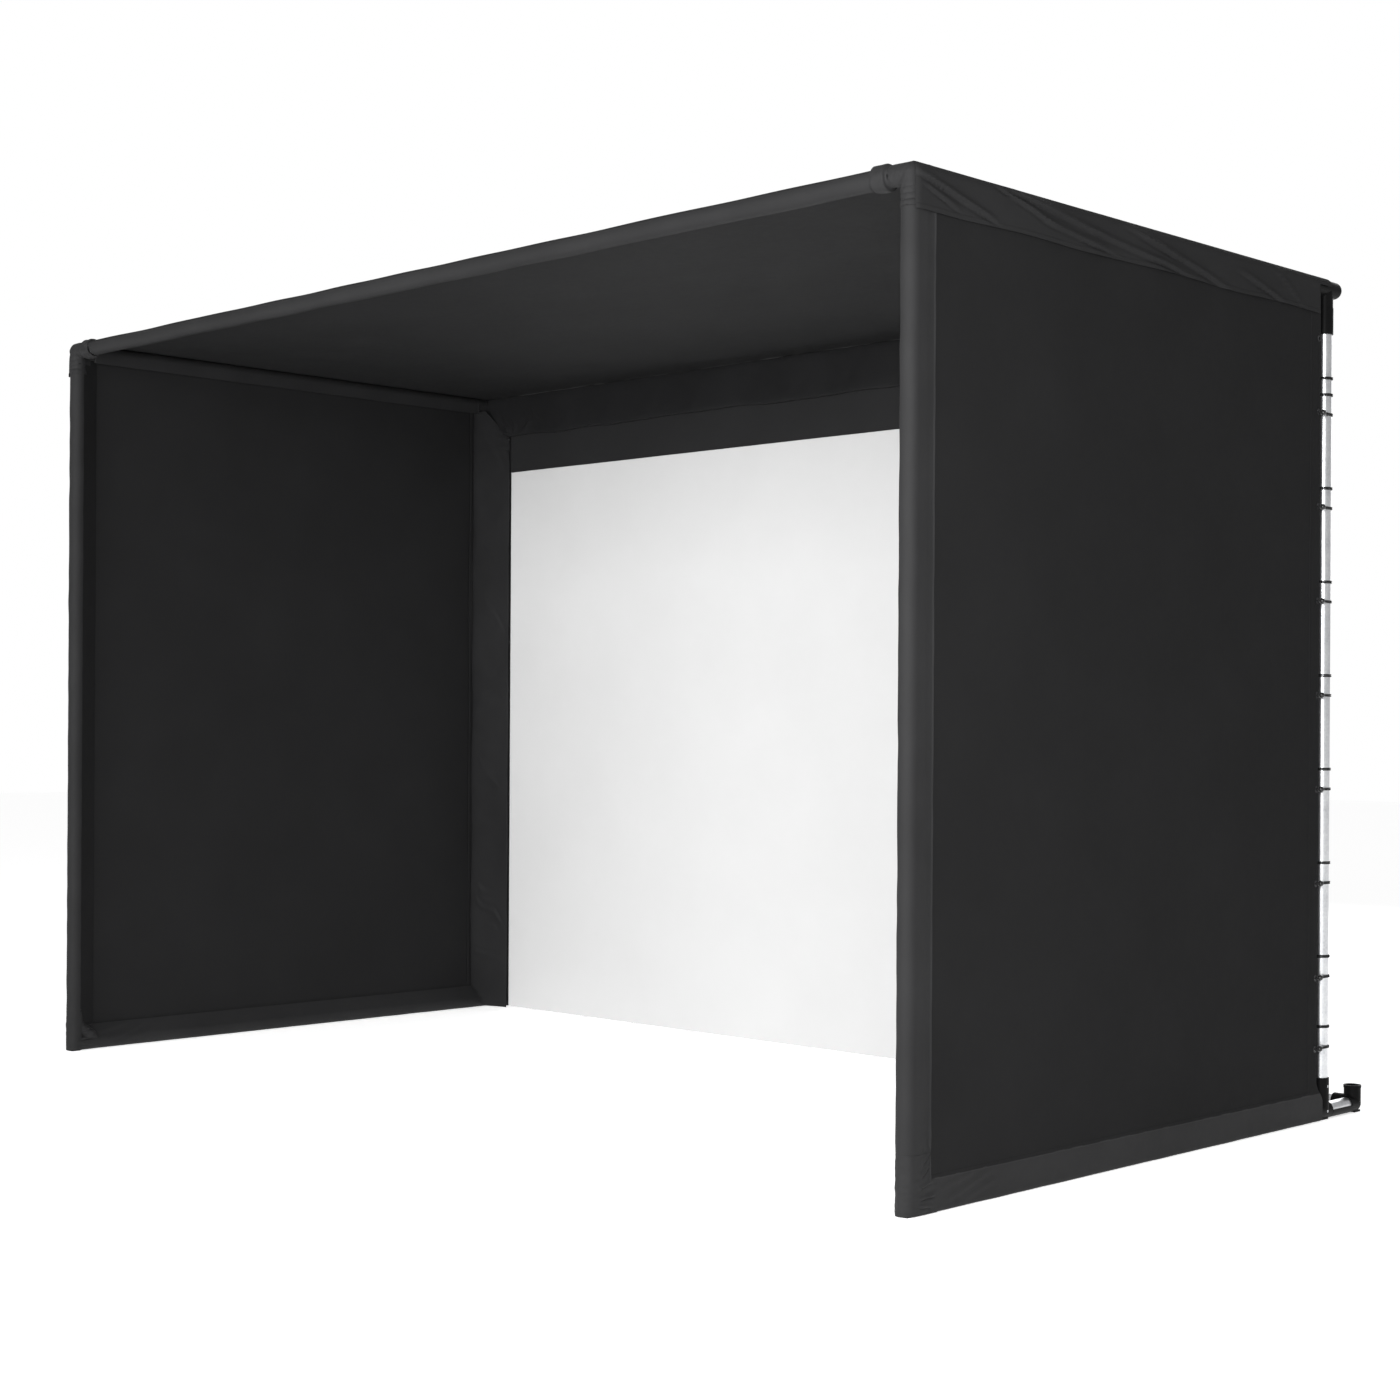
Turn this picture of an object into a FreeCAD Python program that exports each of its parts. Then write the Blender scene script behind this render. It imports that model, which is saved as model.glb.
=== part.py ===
"""Hitting bay for ball practice: a tube frame with cloth walls and roof, and a hung impact screen.

Millimetres. +Z is up, the open front faces -Y and the impact screen closes the +Y end.
The origin is on the floor, in the middle of the frame's footprint.
"""

import FreeCAD, Part
import math
import os
import Sketcher

from FreeCAD import Vector

# Driving dimensions, one spreadsheet cell each: alias, value, what it is.
DIMENSIONS = (
    ("bay_width", 3920, "left post axis to right post axis"),
    ("bay_depth", 2010, "front post axis to rear post axis"),
    ("top_axis", 2560, "floor to the axis of the top rails"),
    ("front_offset", 1104.9, "origin forward to the front post axis"),
    ("top_bar_setback", 50, "rear post axis back to the top rear bar"),
    ("floor_bar_setback", 200, "rear post axis back to the floor rear bar"),
    ("tube_od", 44.2, "outside diameter of every frame tube"),
    ("tube_id", 40.9, "inside diameter of every frame tube"),
    ("spigot_od", 40.4, "outside diameter of the joining spigots"),
    ("spigot_id", 34, "inside diameter of the joining spigots"),
    ("spigot_length", 300, "length of the joining spigots"),
    ("joint_gap", 1, "end play left at the end of each tube"),
    ("socket_od", 52.4, "outside diameter of the fittings"),
    ("socket_id", 45, "bore of the fittings' sockets"),
    ("socket_floor", 24, "fitting axis to the floor of a socket"),
    ("collar_od", 55, "outside diameter of the rim round a bare socket's mouth"),
    ("collar_length", 9, "length of that rim"),
    ("bar_reach", 108, "front corner to the mouth of its bar socket"),
    ("short_reach", 80, "front corner to its rail and post mouths"),
    ("foot_reach", 122, "front foot to the mouth of its post socket"),
    ("rear_reach", 105, "rear top corner to its bar and rail mouths"),
    ("neck_reach", 61, "rear top corner to the step in its post leg"),
    ("neck_od", 50, "outside diameter above that step"),
    ("leg_reach", 142, "rear top corner to the mouth of its post leg"),
    ("tee_half", 34, "half the length of the tee's sliding sleeve"),
    ("tee_reach", 102.8, "rear tee to the mouth of its post socket"),
    ("corner_reach", 44, "rear floor corner to its rail mouth"),
    ("corner_bar_reach", 62, "rear floor corner to its bar mouth"),
    ("cradle_reach", 164, "rear floor corner to the end of its trough under the rail"),
    ("short_screw", 11, "mouth of a rear floor corner's socket back to its set screw"),
    ("spare_reach", 57.8, "rear floor corner up to its spare mouth"),
    ("base_side", 36, "side of the flat foot under a floor fitting"),
    ("base_height", 6, "height of that foot"),
    ("screw_od", 8, "set screws and eye bolts"),
    ("screw_hole_od", 8.1, "their holes"),
    ("screw_tip", 22.2, "fitting axis to a screw's tip"),
    ("hex_key", 4, "across the flats of a set screw's hex recess"),
    ("eye_height", 89, "floor to the eye bolt"),
    ("eye_reach", 42, "post axis to the centre of the bolt's eye"),
    ("eye_radius", 9, "middle radius of the eye"),
    ("eye_wire", 2.5, "radius of the eye's wire"),
    ("cloth", 1.2, "thickness of the cloth"),
    ("cloth_gap", 0.3, "clearance between cloth and what it covers"),
    ("sleeve_radius", 26, "outside radius of a cloth pocket round a tube"),
    ("front_seam", 75, "front post axis to the wall's front seam"),
    ("floor_seam", 88, "floor to the wall's bottom seam"),
    ("roof_seam", 70, "front bar axis to the roof's front seam"),
    ("seam_width", 8, "how far a wall pocket's hollow stops short of its seam"),
    ("roof_seam_width", 12, "the same at the roof's pocket"),
    ("pocket_corner", 6, "radius of the floor pocket's lower outer edge"),
    ("pocket_corner_z", 10, "floor to the middle of that edge"),
    ("wall_rear_hem", 73, "rear post axis forward to the wall's rear edge"),
    ("roof_rear_hem", 64, "top rear bar axis forward to the roof's rear edge"),
    ("inner_flap", 39, "top rail axis down to the wall's inner flap edge"),
    ("outer_flap", 91, "top rail axis down to the roof's side flap edge"),
    ("flap_rear", 35, "rear post axis forward to the side flap's end"),
    ("cover_overlap", 5, "how far a corner cover runs past its sockets"),
    ("cover_gap", 1, "gap between a corner cover and the sheet beside it"),
    ("pad_inner", 156, "post axis in to the side pad's inner edge"),
    ("pad_notch", 30, "post axis in to the notches for the rails' pockets"),
    ("pad_outer", 22, "post axis out to the side pad's outer edge"),
    ("pad_bottom", 8, "floor to the side pads"),
    ("pad_low", 2418, "floor to the top pad's lower edge"),
    ("pad_clearance", 3, "pads to the cloth beside them"),
    ("pad_skin", 1.5, "thickness of a pad's cover"),
    ("pad_split", 1, "gap in the mitre between two pads"),
    ("side_face_outer", 119, "rear post axis forward to a side pad's outer edge, at the face"),
    ("side_face_inner", 64, "the same at its inner edge"),
    ("side_back_outer", 95, "rear post axis forward to a side pad's outer edge, at the back"),
    ("side_back_inner", 59.5, "the same at its inner edge"),
    ("top_face_low", 84, "rear post axis forward to the top pad's lower edge, at the face"),
    ("top_face_high", 74, "the same at its upper edge"),
    ("top_back_low", 64, "rear post axis forward to the top pad's lower edge, at the back"),
    ("top_back_high", 54, "the same at its upper edge"),
    ("screen_forward", 51, "rear post axis forward to the screen"),
    ("screen_inset", 156, "post axis in to the edge of the white cloth"),
    ("webbing_width", 40, "width of the screen's side webbing"),
    ("screen_bottom", 14, "floor to the screen"),
    ("band_low", 2268, "floor to the screen's black top band"),
    ("band_high", 2448, "floor to the top edge of that band"),
    ("skirt_depth", 40, "how far the bottom skirt reaches back"),
    ("hem_margin", 11, "cloth edge to the middle of a grommet"),
    ("grommet_id", 11, "hole through a grommet"),
    ("barrel_od", 13.4, "barrel of a grommet"),
    ("grommet_od", 20, "flange of a grommet"),
    ("flange", 0.8, "thickness of that flange"),
    ("flange_gap", 0.1, "gap between a flange and the cloth"),
    ("cloth_hole", 14, "hole in the cloth for a grommet"),
    ("cord_od", 5, "bungee cord"),
    ("cord_clearance", 0.05, "gap between a bungee and its tube"),
    ("floor_cord_od", 4, "bungee cord round the floor bar"),
    ("edge_turn", 6, "radius of a bungee round the cloth's edge"),
    ("ball_od", 18, "bungee ball"),
    ("ball_run", 16, "edge turn to the bungee ball"),
    ("bungee_pitch", 288, "height between one bungee and the next"),
    ("wall_first", 2170, "floor to the top wall bungee"),
    ("wall_last", 225, "floor to the lowest wall bungee"),
    ("wall_spare", 2394, "floor to the wall's spare top grommet"),
    ("screen_top", 2282, "floor to the top bungee of the screen's side"),
    ("screen_first", 2231, "floor to the next one"),
    ("screen_last", 287, "floor to the lowest one"),
    ("bar_pitch", 310, "distance between bungees along a bar"),
)
REGULAR_BUNGEES = 7
BAR_BUNGEES = 12
ROOF_BUNGEES = 11
LEFT = -1
RIGHT = 1
HEX_SIDES = 6
FULL_TURN = 360
VOLUME_TOLERANCE = 0.01
# Reach of the blocks that trim other shapes, past those shapes.
ROOM = 500

DIRECTIONS = {
    "+X": Vector(1, 0, 0),
    "-X": Vector(-1, 0, 0),
    "+Y": Vector(0, 1, 0),
    "-Y": Vector(0, -1, 0),
    "+Z": Vector(0, 0, 1),
    "-Z": Vector(0, 0, -1),
}

doc = FreeCAD.newDocument("hitting_bay")
sizes = doc.addObject("Spreadsheet::Sheet", "Sizes")
for row, (alias, value, note) in enumerate(DIMENSIONS, start=1):
    sizes.set(f"A{row}", note)
    sizes.set(f"B{row}", str(value))
    sizes.setAlias(f"B{row}", alias)
doc.recompute()

nodes = []


def size(alias):
    """The value of one spreadsheet cell."""
    return float(sizes.get(alias))


# Places that many pieces share, as expressions for objects and as numbers for shapes.
FRONT = "-Sizes.front_offset"
REAR = "Sizes.bay_depth - Sizes.front_offset"
TOP = "Sizes.top_axis"
FLOOR = "Sizes.socket_od / 2"
FRONT_Y = -size("front_offset")
REAR_Y = size("bay_depth") + FRONT_Y
POST_X = size("bay_width") / 2
TOP_Z = size("top_axis")
FLOOR_Z = size("socket_od") / 2
TOP_BAR_Y = REAR_Y + size("top_bar_setback")
FLOOR_BAR_Y = REAR_Y + size("floor_bar_setback")
SCREEN_Y = REAR_Y - size("screen_forward")
CLOTH_IN = FLOOR_Z + size("cloth_gap")
CLOTH_OUT = CLOTH_IN + size("cloth")
WALL_X = POST_X + (CLOTH_IN + CLOTH_OUT) / 2
ROOF_IN = CLOTH_OUT + size("cloth_gap")
ROOF_OUT = ROOF_IN + size("cloth")
WALL_REAR_Y = REAR_Y - size("wall_rear_hem")
ROOF_REAR_Y = TOP_BAR_Y - size("roof_rear_hem")
COVER_END = size("short_reach") + size("cover_overlap")
FOOT_TOP = FLOOR_Z + size("foot_reach") + size("cover_overlap")


def post_x(side):
    """Expression for the X of a post's axis."""
    return f"{side} * Sizes.bay_width / 2"


def shift(point, direction, distance):
    """Expressions for a point moved along a direction by an expression."""
    heading = DIRECTIONS[direction]
    return tuple(
        f"{place} + {int(part)} * ({distance})" if part else place
        for place, part in zip(point, heading)
    )


def place(thing, direction, point):
    """Turn an object's +Z along a direction and bind its place to the sheet."""
    thing.Placement = FreeCAD.Placement(
        Vector(), FreeCAD.Rotation(DIRECTIONS["+Z"], DIRECTIONS[direction])
    )
    for letter, expression in zip("xyz", point):
        thing.setExpression(f"Placement.Base.{letter}", expression)


def keep(thing, label):
    """Name an object as a finished sub-part."""
    thing.Label = label
    nodes.append(thing)
    return thing


# Primitives and booleans


def cylinder(name, diameter, length, direction, point):
    rod = doc.addObject("Part::Cylinder", name)
    rod.setExpression("Radius", f"({diameter}) / 2")
    rod.setExpression("Height", length)
    place(rod, direction, point)
    return rod


def sphere(name, diameter, point):
    ball = doc.addObject("Part::Sphere", name)
    ball.setExpression("Radius", f"({diameter}) / 2")
    place(ball, "+Z", point)
    return ball


def fuse(name, pieces):
    whole = doc.addObject("Part::MultiFuse", name)
    whole.Shapes = pieces
    whole.Refine = True
    return whole


def cut(name, base, tool):
    rest = doc.addObject("Part::Cut", name)
    rest.Base = base
    rest.Tool = tool
    rest.Refine = True
    return rest


# Tubes


def ring_pad(name, outer, inner, length):
    """A body with one ring sketched on its XY plane and padded along +Z."""
    body = doc.addObject("PartDesign::Body", name)
    ring = body.newObject("Sketcher::SketchObject", f"{name}_ring")
    planes = body.Origin.OriginFeatures
    ring.AttachmentSupport = (next(p for p in planes if p.Role == "XY_Plane"), [""])
    ring.MapMode = "FlatFace"
    for label, diameter in (("outer", outer), ("inner", inner)):
        curve = Part.Circle(Vector(), DIRECTIONS["+Z"], size(diameter) / 2)
        circle = ring.addGeometry(curve, False)
        ring.addConstraint(Sketcher.Constraint("Coincident", circle, 3, -1, 1))
        index = ring.addConstraint(Sketcher.Constraint("Diameter", circle, size(diameter)))
        ring.renameConstraint(index, label)
        ring.setExpression(f"Constraints.{label}", f"Sizes.{diameter}")
    pad = body.newObject("PartDesign::Pad", f"{name}_pad")
    pad.Profile = ring
    pad.setExpression("Length", length)
    return body


def tube(name, direction, point, length):
    """A frame tube from a point along a direction."""
    body = ring_pad(name, "tube_od", "tube_id", length)
    place(body, direction, point)
    return keep(body, name)


END = "(Sizes.socket_floor + Sizes.joint_gap)"


def posts(side, word):
    length = f"Sizes.top_axis - Sizes.socket_od / 2 - 2 * {END}"
    for where, y in (("front", FRONT), ("rear", REAR)):
        foot = (post_x(side), y, f"{FLOOR} + {END}")
        tube(f"{where}_{word}_post", "+Z", foot, length)


def side_rails(side, word):
    start = (post_x(side), f"{FRONT} + {END}")
    top_length = f"Sizes.bay_depth - 2 * {END}"
    tube(f"top_{word}_rail", "+Y", (*start, TOP), top_length)
    floor_length = f"{top_length} + Sizes.floor_bar_setback"
    tube(f"floor_{word}_rail", "+Y", (*start, FLOOR), floor_length)


BARS = (
    ("top_front_bar", FRONT, TOP),
    ("top_rear_bar", f"{REAR} + Sizes.top_bar_setback", TOP),
    ("floor_rear_bar", f"{REAR} + Sizes.floor_bar_setback", FLOOR),
)


def cross_bars():
    """Each cross bar is two lengths, which butt in the middle on an inside spigot."""
    spigots = []
    half = f"Sizes.bay_width / 2 - {END} - Sizes.joint_gap / 2"
    for name, y, z in BARS:
        for side, word in ((LEFT, "left"), (RIGHT, "right")):
            direction = "-X" if side == LEFT else "+X"
            inner_end = (f"{side} * Sizes.joint_gap / 2", y, z)
            tube(f"{name}_{word}", direction, inner_end, half)
        spigot = ring_pad(f"{name}_spigot", "spigot_od", "spigot_id", "Sizes.spigot_length")
        place(spigot, "+X", ("-Sizes.spigot_length / 2", y, z))
        spigots.append(spigot)
    group = doc.addObject("Part::Compound", "bar_spigots")
    group.Links = spigots
    keep(group, "bar_spigots")


# Fittings. A socket is (start point, direction, reach, where its bore starts, outside diameter).

screws = []


def socket(point, direction, reach, bore_from="Sizes.socket_floor", outside="Sizes.socket_od"):
    return (point, direction, reach, bore_from, outside)


def fitting(name, solids, sockets, bare=(), screw_sides=(), extra_bores=()):
    """Fuse the sockets on to the other solids, then bore them and drill their screw holes.

    bare holds the indices of the sockets with a rim round the mouth.
    """
    outsides = list(solids)
    bores = []
    for index, (point, direction, reach, bore_from, outside) in enumerate(sockets):
        outsides.append(cylinder(f"{name}_arm{index}", outside, reach, direction, point))
        floor = shift(point, direction, bore_from)
        depth = f"{reach} - ({bore_from}) + 1"
        bores.append(cylinder(f"{name}_bore{index}", "Sizes.socket_id", depth, direction, floor))
        if index in bare:
            rim = shift(point, direction, f"{reach} - Sizes.collar_length")
            outsides.append(
                cylinder(f"{name}_rim{index}", "Sizes.collar_od", "Sizes.collar_length", direction, rim)
            )
    for index, (point, heading) in enumerate(screw_sides):
        bores.append(
            cylinder(f"{name}_tap{index}", "Sizes.screw_hole_od", "Sizes.socket_od", heading, point)
        )
    for index, (point, heading, length) in enumerate(extra_bores):
        bores.append(cylinder(f"{name}_extra{index}", "Sizes.socket_id", length, heading, point))
    body = cut(name, fuse(f"{name}_outside", outsides), fuse(f"{name}_inside", bores))
    return keep(body, name)


def screw_at(point, direction, along, distance):
    """A set screw through a socket's wall, seen from the socket's axis."""
    seat = shift(point, along, distance)
    screws.append((seat, direction))
    return (seat, direction)


def foot_base(name, point):
    """The flat foot under a floor fitting."""
    base = doc.addObject("Part::Box", f"{name}_base")
    base.setExpression("Length", "Sizes.base_side")
    base.setExpression("Width", "Sizes.base_side")
    base.setExpression("Height", "Sizes.base_height")
    corner = shift(shift(point, "-X", "Sizes.base_side / 2"), "-Y", "Sizes.base_side / 2")
    place(base, "+Z", (corner[0], corner[1], "0"))
    return base


def inward(side):
    return "-X" if side == RIGHT else "+X"


def outward(side):
    return "+X" if side == RIGHT else "-X"


SCREW_BACK = "Sizes.socket_od / 2"


def front_top_corner(side, word):
    name = f"front_{word}_top_corner"
    hub = (post_x(side), FRONT, TOP)
    arms = (
        socket(hub, inward(side), "Sizes.bar_reach"),
        socket(hub, "+Y", "Sizes.short_reach"),
        socket(hub, "-Z", "Sizes.short_reach"),
    )
    seats = (
        screw_at(hub, "+Y", inward(side), f"Sizes.bar_reach - {SCREW_BACK}"),
        screw_at(hub, inward(side), "+Y", f"Sizes.short_reach - {SCREW_BACK}"),
        screw_at(hub, "+Y", "-Z", f"Sizes.short_reach - {SCREW_BACK}"),
    )
    fitting(name, [sphere(f"{name}_hub", "Sizes.socket_od", hub)], arms, screw_sides=seats)


def front_foot(side, word):
    name = f"front_{word}_foot"
    hub = (post_x(side), FRONT, FLOOR)
    arms = (
        socket(hub, "+Y", "Sizes.short_reach"),
        socket(hub, "+Z", "Sizes.foot_reach"),
    )
    seats = (
        screw_at(hub, inward(side), "+Y", f"Sizes.short_reach - {SCREW_BACK}"),
        screw_at(hub, "+Y", "+Z", f"Sizes.foot_reach - {SCREW_BACK}"),
    )
    solids = [sphere(f"{name}_hub", "Sizes.socket_od", hub), foot_base(name, hub)]
    fitting(name, solids, arms, screw_sides=seats)


def rear_top_corner(side, word):
    """The post and rail meet over the post's axis; the cross bar's socket sits behind it."""
    name = f"rear_{word}_top_corner"
    over_post = (post_x(side), REAR, TOP)
    hub = shift(over_post, "+Y", "Sizes.top_bar_setback")
    arms = (
        socket(hub, inward(side), "Sizes.rear_reach"),
        socket(
            hub,
            "-Y",
            "Sizes.rear_reach + Sizes.top_bar_setback",
            "Sizes.socket_floor + Sizes.top_bar_setback",
        ),
        socket(over_post, "-Z", "Sizes.leg_reach", outside="Sizes.neck_od"),
    )
    collar = shift(over_post, "-Z", "Sizes.neck_reach")
    collar_length = "Sizes.leg_reach - Sizes.neck_reach"
    solids = [
        sphere(f"{name}_hub", "Sizes.socket_od", hub),
        cylinder(f"{name}_collar", "Sizes.socket_od", collar_length, "-Z", collar),
    ]
    seats = (
        screw_at(hub, "+Y", inward(side), f"Sizes.rear_reach - {SCREW_BACK}"),
        screw_at(over_post, inward(side), "-Y", f"Sizes.rear_reach - {SCREW_BACK}"),
        screw_at(over_post, "+Y", "-Z", f"Sizes.leg_reach - {SCREW_BACK}"),
    )
    fitting(name, solids, arms, bare=(0,), screw_sides=seats)


def rear_foot_tee(side, word):
    """The floor rail slides through the tee, which carries the rear post."""
    name = f"rear_{word}_foot_tee"
    hub = (post_x(side), REAR, FLOOR)
    arms = (
        socket(hub, "+Y", "Sizes.tee_half", "-1"),
        socket(hub, "-Y", "Sizes.tee_half", "-1"),
        socket(hub, "+Z", "Sizes.tee_reach"),
    )
    seats = (
        screw_at(hub, outward(side), "-Y", "0"),
        screw_at(hub, outward(side), "+Z", f"Sizes.tee_reach - {SCREW_BACK}"),
        screw_at(hub, "+Y", "+Z", f"Sizes.tee_reach - {SCREW_BACK}"),
    )
    eye_seat = ((post_x(side), REAR, "Sizes.eye_height"), "-Y")
    fitting(name, [foot_base(name, hub)], arms, screw_sides=(*seats, eye_seat))


def cradle(name, hub):
    """The trough under the bare end of the floor rail: the lower half of a sleeve."""
    sleeve = cylinder(f"{name}_sleeve", "Sizes.socket_od", "Sizes.cradle_reach", "-Y", hub)
    above = doc.addObject("Part::Box", f"{name}_above")
    above.setExpression("Length", "Sizes.socket_od")
    above.setExpression("Width", "Sizes.cradle_reach + 2")
    above.setExpression("Height", "Sizes.socket_od")
    side_edge = shift(hub, "-X", "Sizes.socket_od / 2")
    place(above, "+Z", shift(side_edge, "-Y", "Sizes.cradle_reach + 1"))
    return cut(f"{name}_cradle", sleeve, above)


def rear_floor_corner(side, word):
    """The floor bar's corner, with a spare socket pointing up."""
    name = f"rear_{word}_floor_corner"
    hub = (post_x(side), f"{REAR} + Sizes.floor_bar_setback", FLOOR)
    arms = (
        socket(hub, inward(side), "Sizes.corner_bar_reach"),
        socket(hub, "-Y", "Sizes.corner_reach"),
        socket(hub, "+Z", "Sizes.spare_reach"),
    )
    solids = [
        sphere(f"{name}_hub", "Sizes.socket_od", hub),
        foot_base(name, hub),
        cradle(name, hub),
    ]
    seats = (
        screw_at(hub, "+Y", inward(side), "Sizes.corner_bar_reach - Sizes.short_screw"),
        screw_at(hub, inward(side), "-Y", "Sizes.corner_reach - Sizes.short_screw"),
    )
    trough = (shift(hub, "-Y", "Sizes.socket_floor"), "-Y", "Sizes.cradle_reach")
    fitting(name, solids, arms, bare=(2,), screw_sides=seats, extra_bores=(trough,))


def set_screws():
    """Headless screws, flush with the fittings, with a hex recess in the outer end."""
    group = []
    length = "Sizes.socket_od / 2 - Sizes.screw_tip"
    for index, (seat, direction) in enumerate(screws):
        start = shift(seat, direction, "Sizes.screw_tip")
        shank = cylinder(f"set_screw_shank{index}", "Sizes.screw_od", length, direction, start)
        recess = doc.addObject("Part::Prism", f"set_screw_recess{index}")
        recess.Polygon = HEX_SIDES
        recess.setExpression("Circumradius", f"Sizes.hex_key / {math.sqrt(3)}")
        recess.setExpression("Height", length)
        place(recess, direction, shift(start, direction, f"({length}) / 2"))
        group.append(cut(f"set_screw{index}", shank, recess))
    node = doc.addObject("Part::Compound", "set_screws")
    node.Links = group
    keep(node, "set_screws")


def eye_bolt(side, word):
    """A forged eye bolt in the front of the rear tee's leg; it turns about its own axis."""
    name = f"{word}_eye_bolt"
    axis = (post_x(side), REAR, "Sizes.eye_height")
    start = shift(axis, "-Y", "Sizes.screw_tip")
    length = "Sizes.eye_reach - Sizes.eye_radius - Sizes.screw_tip"
    shank = cylinder(f"{name}_shank", "Sizes.screw_od", length, "-Y", start)
    nut_at = shift(axis, "-Y", "Sizes.socket_od / 2 + Sizes.cloth_gap")
    nut = doc.addObject("Part::Prism", f"{name}_shoulder")
    nut.Polygon = HEX_SIDES
    nut.setExpression("Circumradius", "Sizes.screw_od * 0.85")
    nut.setExpression("Height", "Sizes.eye_wire * 1.5")
    place(nut, "-Y", nut_at)
    ring = doc.addObject("Part::Torus", f"{name}_ring")
    ring.setExpression("Radius1", "Sizes.eye_radius")
    ring.setExpression("Radius2", "Sizes.eye_wire")
    place(ring, "+X", shift(axis, "-Y", "Sizes.eye_reach"))
    keep(fuse(name, [shank, nut, ring]), name)


# Cloth and cord. Their outlines are hulls of circles, which no primitive gives.


def hull_wire(circles, plane):
    """The belt round circles (a, b, radius) listed anticlockwise, put in space by plane(a, b)."""
    count = len(circles)
    normals = []
    for index, (a1, b1, r1) in enumerate(circles):
        a2, b2, r2 = circles[(index + 1) % count]
        span = math.hypot(a2 - a1, b2 - b1)
        ea, eb = (a2 - a1) / span, (b2 - b1) / span
        lean = (r1 - r2) / span
        flat = math.sqrt(1 - lean * lean)
        normals.append((ea * lean + eb * flat, eb * lean - ea * flat))
    edges = []
    for index, (a, b, r) in enumerate(circles):
        first = math.atan2(normals[index - 1][1], normals[index - 1][0])
        last = math.atan2(normals[index][1], normals[index][0])
        sweep = (last - first) % (2 * math.pi)
        angles = (first, first + sweep / 2, last)
        points = [plane(a + r * math.cos(t), b + r * math.sin(t)) for t in angles]
        edges.append(Part.Arc(*points).toShape())
        na, nb = normals[index]
        a2, b2, r2 = circles[(index + 1) % count]
        edges.append(
            Part.LineSegment(plane(a + r * na, b + r * nb), plane(a2 + r2 * na, b2 + r2 * nb)).toShape()
        )
    return Part.Wire(edges)


def prism(circles, plane, run):
    """A solid with a hull of circles as its section."""
    return Part.Face(hull_wire(circles, plane)).extrude(run)


def slab(low, high):
    """A box between two corners, given in any order."""
    corner = Vector(*(min(pair) for pair in zip(low, high)))
    lengths = [abs(a - b) for a, b in zip(low, high)]
    return Part.makeBox(*lengths, corner)


def join(pieces):
    return pieces[0].fuse(pieces[1:]).removeSplitter()


def feature(label, shape):
    """Hold a shape in the document as a finished sub-part."""
    thing = doc.addObject("Part::Feature", label)
    thing.Shape = shape
    return keep(thing, label)


def pocket(outline, inner_outline, plane, run):
    """A closed cloth sleeve between two hulls."""
    return prism(outline, plane, run).cut(prism(inner_outline, plane, run))


def drill(shape, points, axis):
    """Punch the grommet holes."""
    radius = size("cloth_hole") / 2
    reach = 4 * size("cloth")
    tools = [Part.makeCylinder(radius, 2 * reach, p - axis * reach, axis) for p in points]
    return shape.cut(tools)


def wall_heights():
    pitch = size("bungee_pitch")
    regular = [size("wall_first") - pitch * step for step in range(REGULAR_BUNGEES)]
    return [*regular, size("wall_last")]


def screen_heights():
    pitch = size("bungee_pitch")
    regular = [size("screen_first") - pitch * step for step in range(REGULAR_BUNGEES)]
    return [size("screen_top"), *regular, size("screen_last")]


def bar_places(count):
    """Positions of a row of bungees along a cross bar, even about the middle."""
    middle = (count - 1) / 2
    return [(step - middle) * size("bar_pitch") for step in range(count)]


def wall_grommets(side):
    y = WALL_REAR_Y - size("hem_margin")
    heights = [size("wall_spare"), *wall_heights()]
    return [Vector(side * WALL_X, y, z) for z in heights]


def roof_grommets():
    y = ROOF_REAR_Y - size("hem_margin")
    z = TOP_Z + (ROOF_IN + ROOF_OUT) / 2
    return [Vector(x, y, z) for x in bar_places(ROOF_BUNGEES)]


def screen_side_grommets(side):
    x = POST_X - size("screen_inset") + size("webbing_width") - size("hem_margin")
    return [Vector(side * x, SCREEN_Y, z) for z in screen_heights()]


def screen_top_grommets():
    z = size("band_high") - size("hem_margin")
    return [Vector(x, SCREEN_Y, z) for x in bar_places(BAR_BUNGEES)]


def skirt_grommets():
    y = SCREEN_Y + size("skirt_depth") - size("hem_margin")
    z = size("screen_bottom") + size("cloth") / 2
    return [Vector(x, y, z) for x in bar_places(BAR_BUNGEES)]


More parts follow.
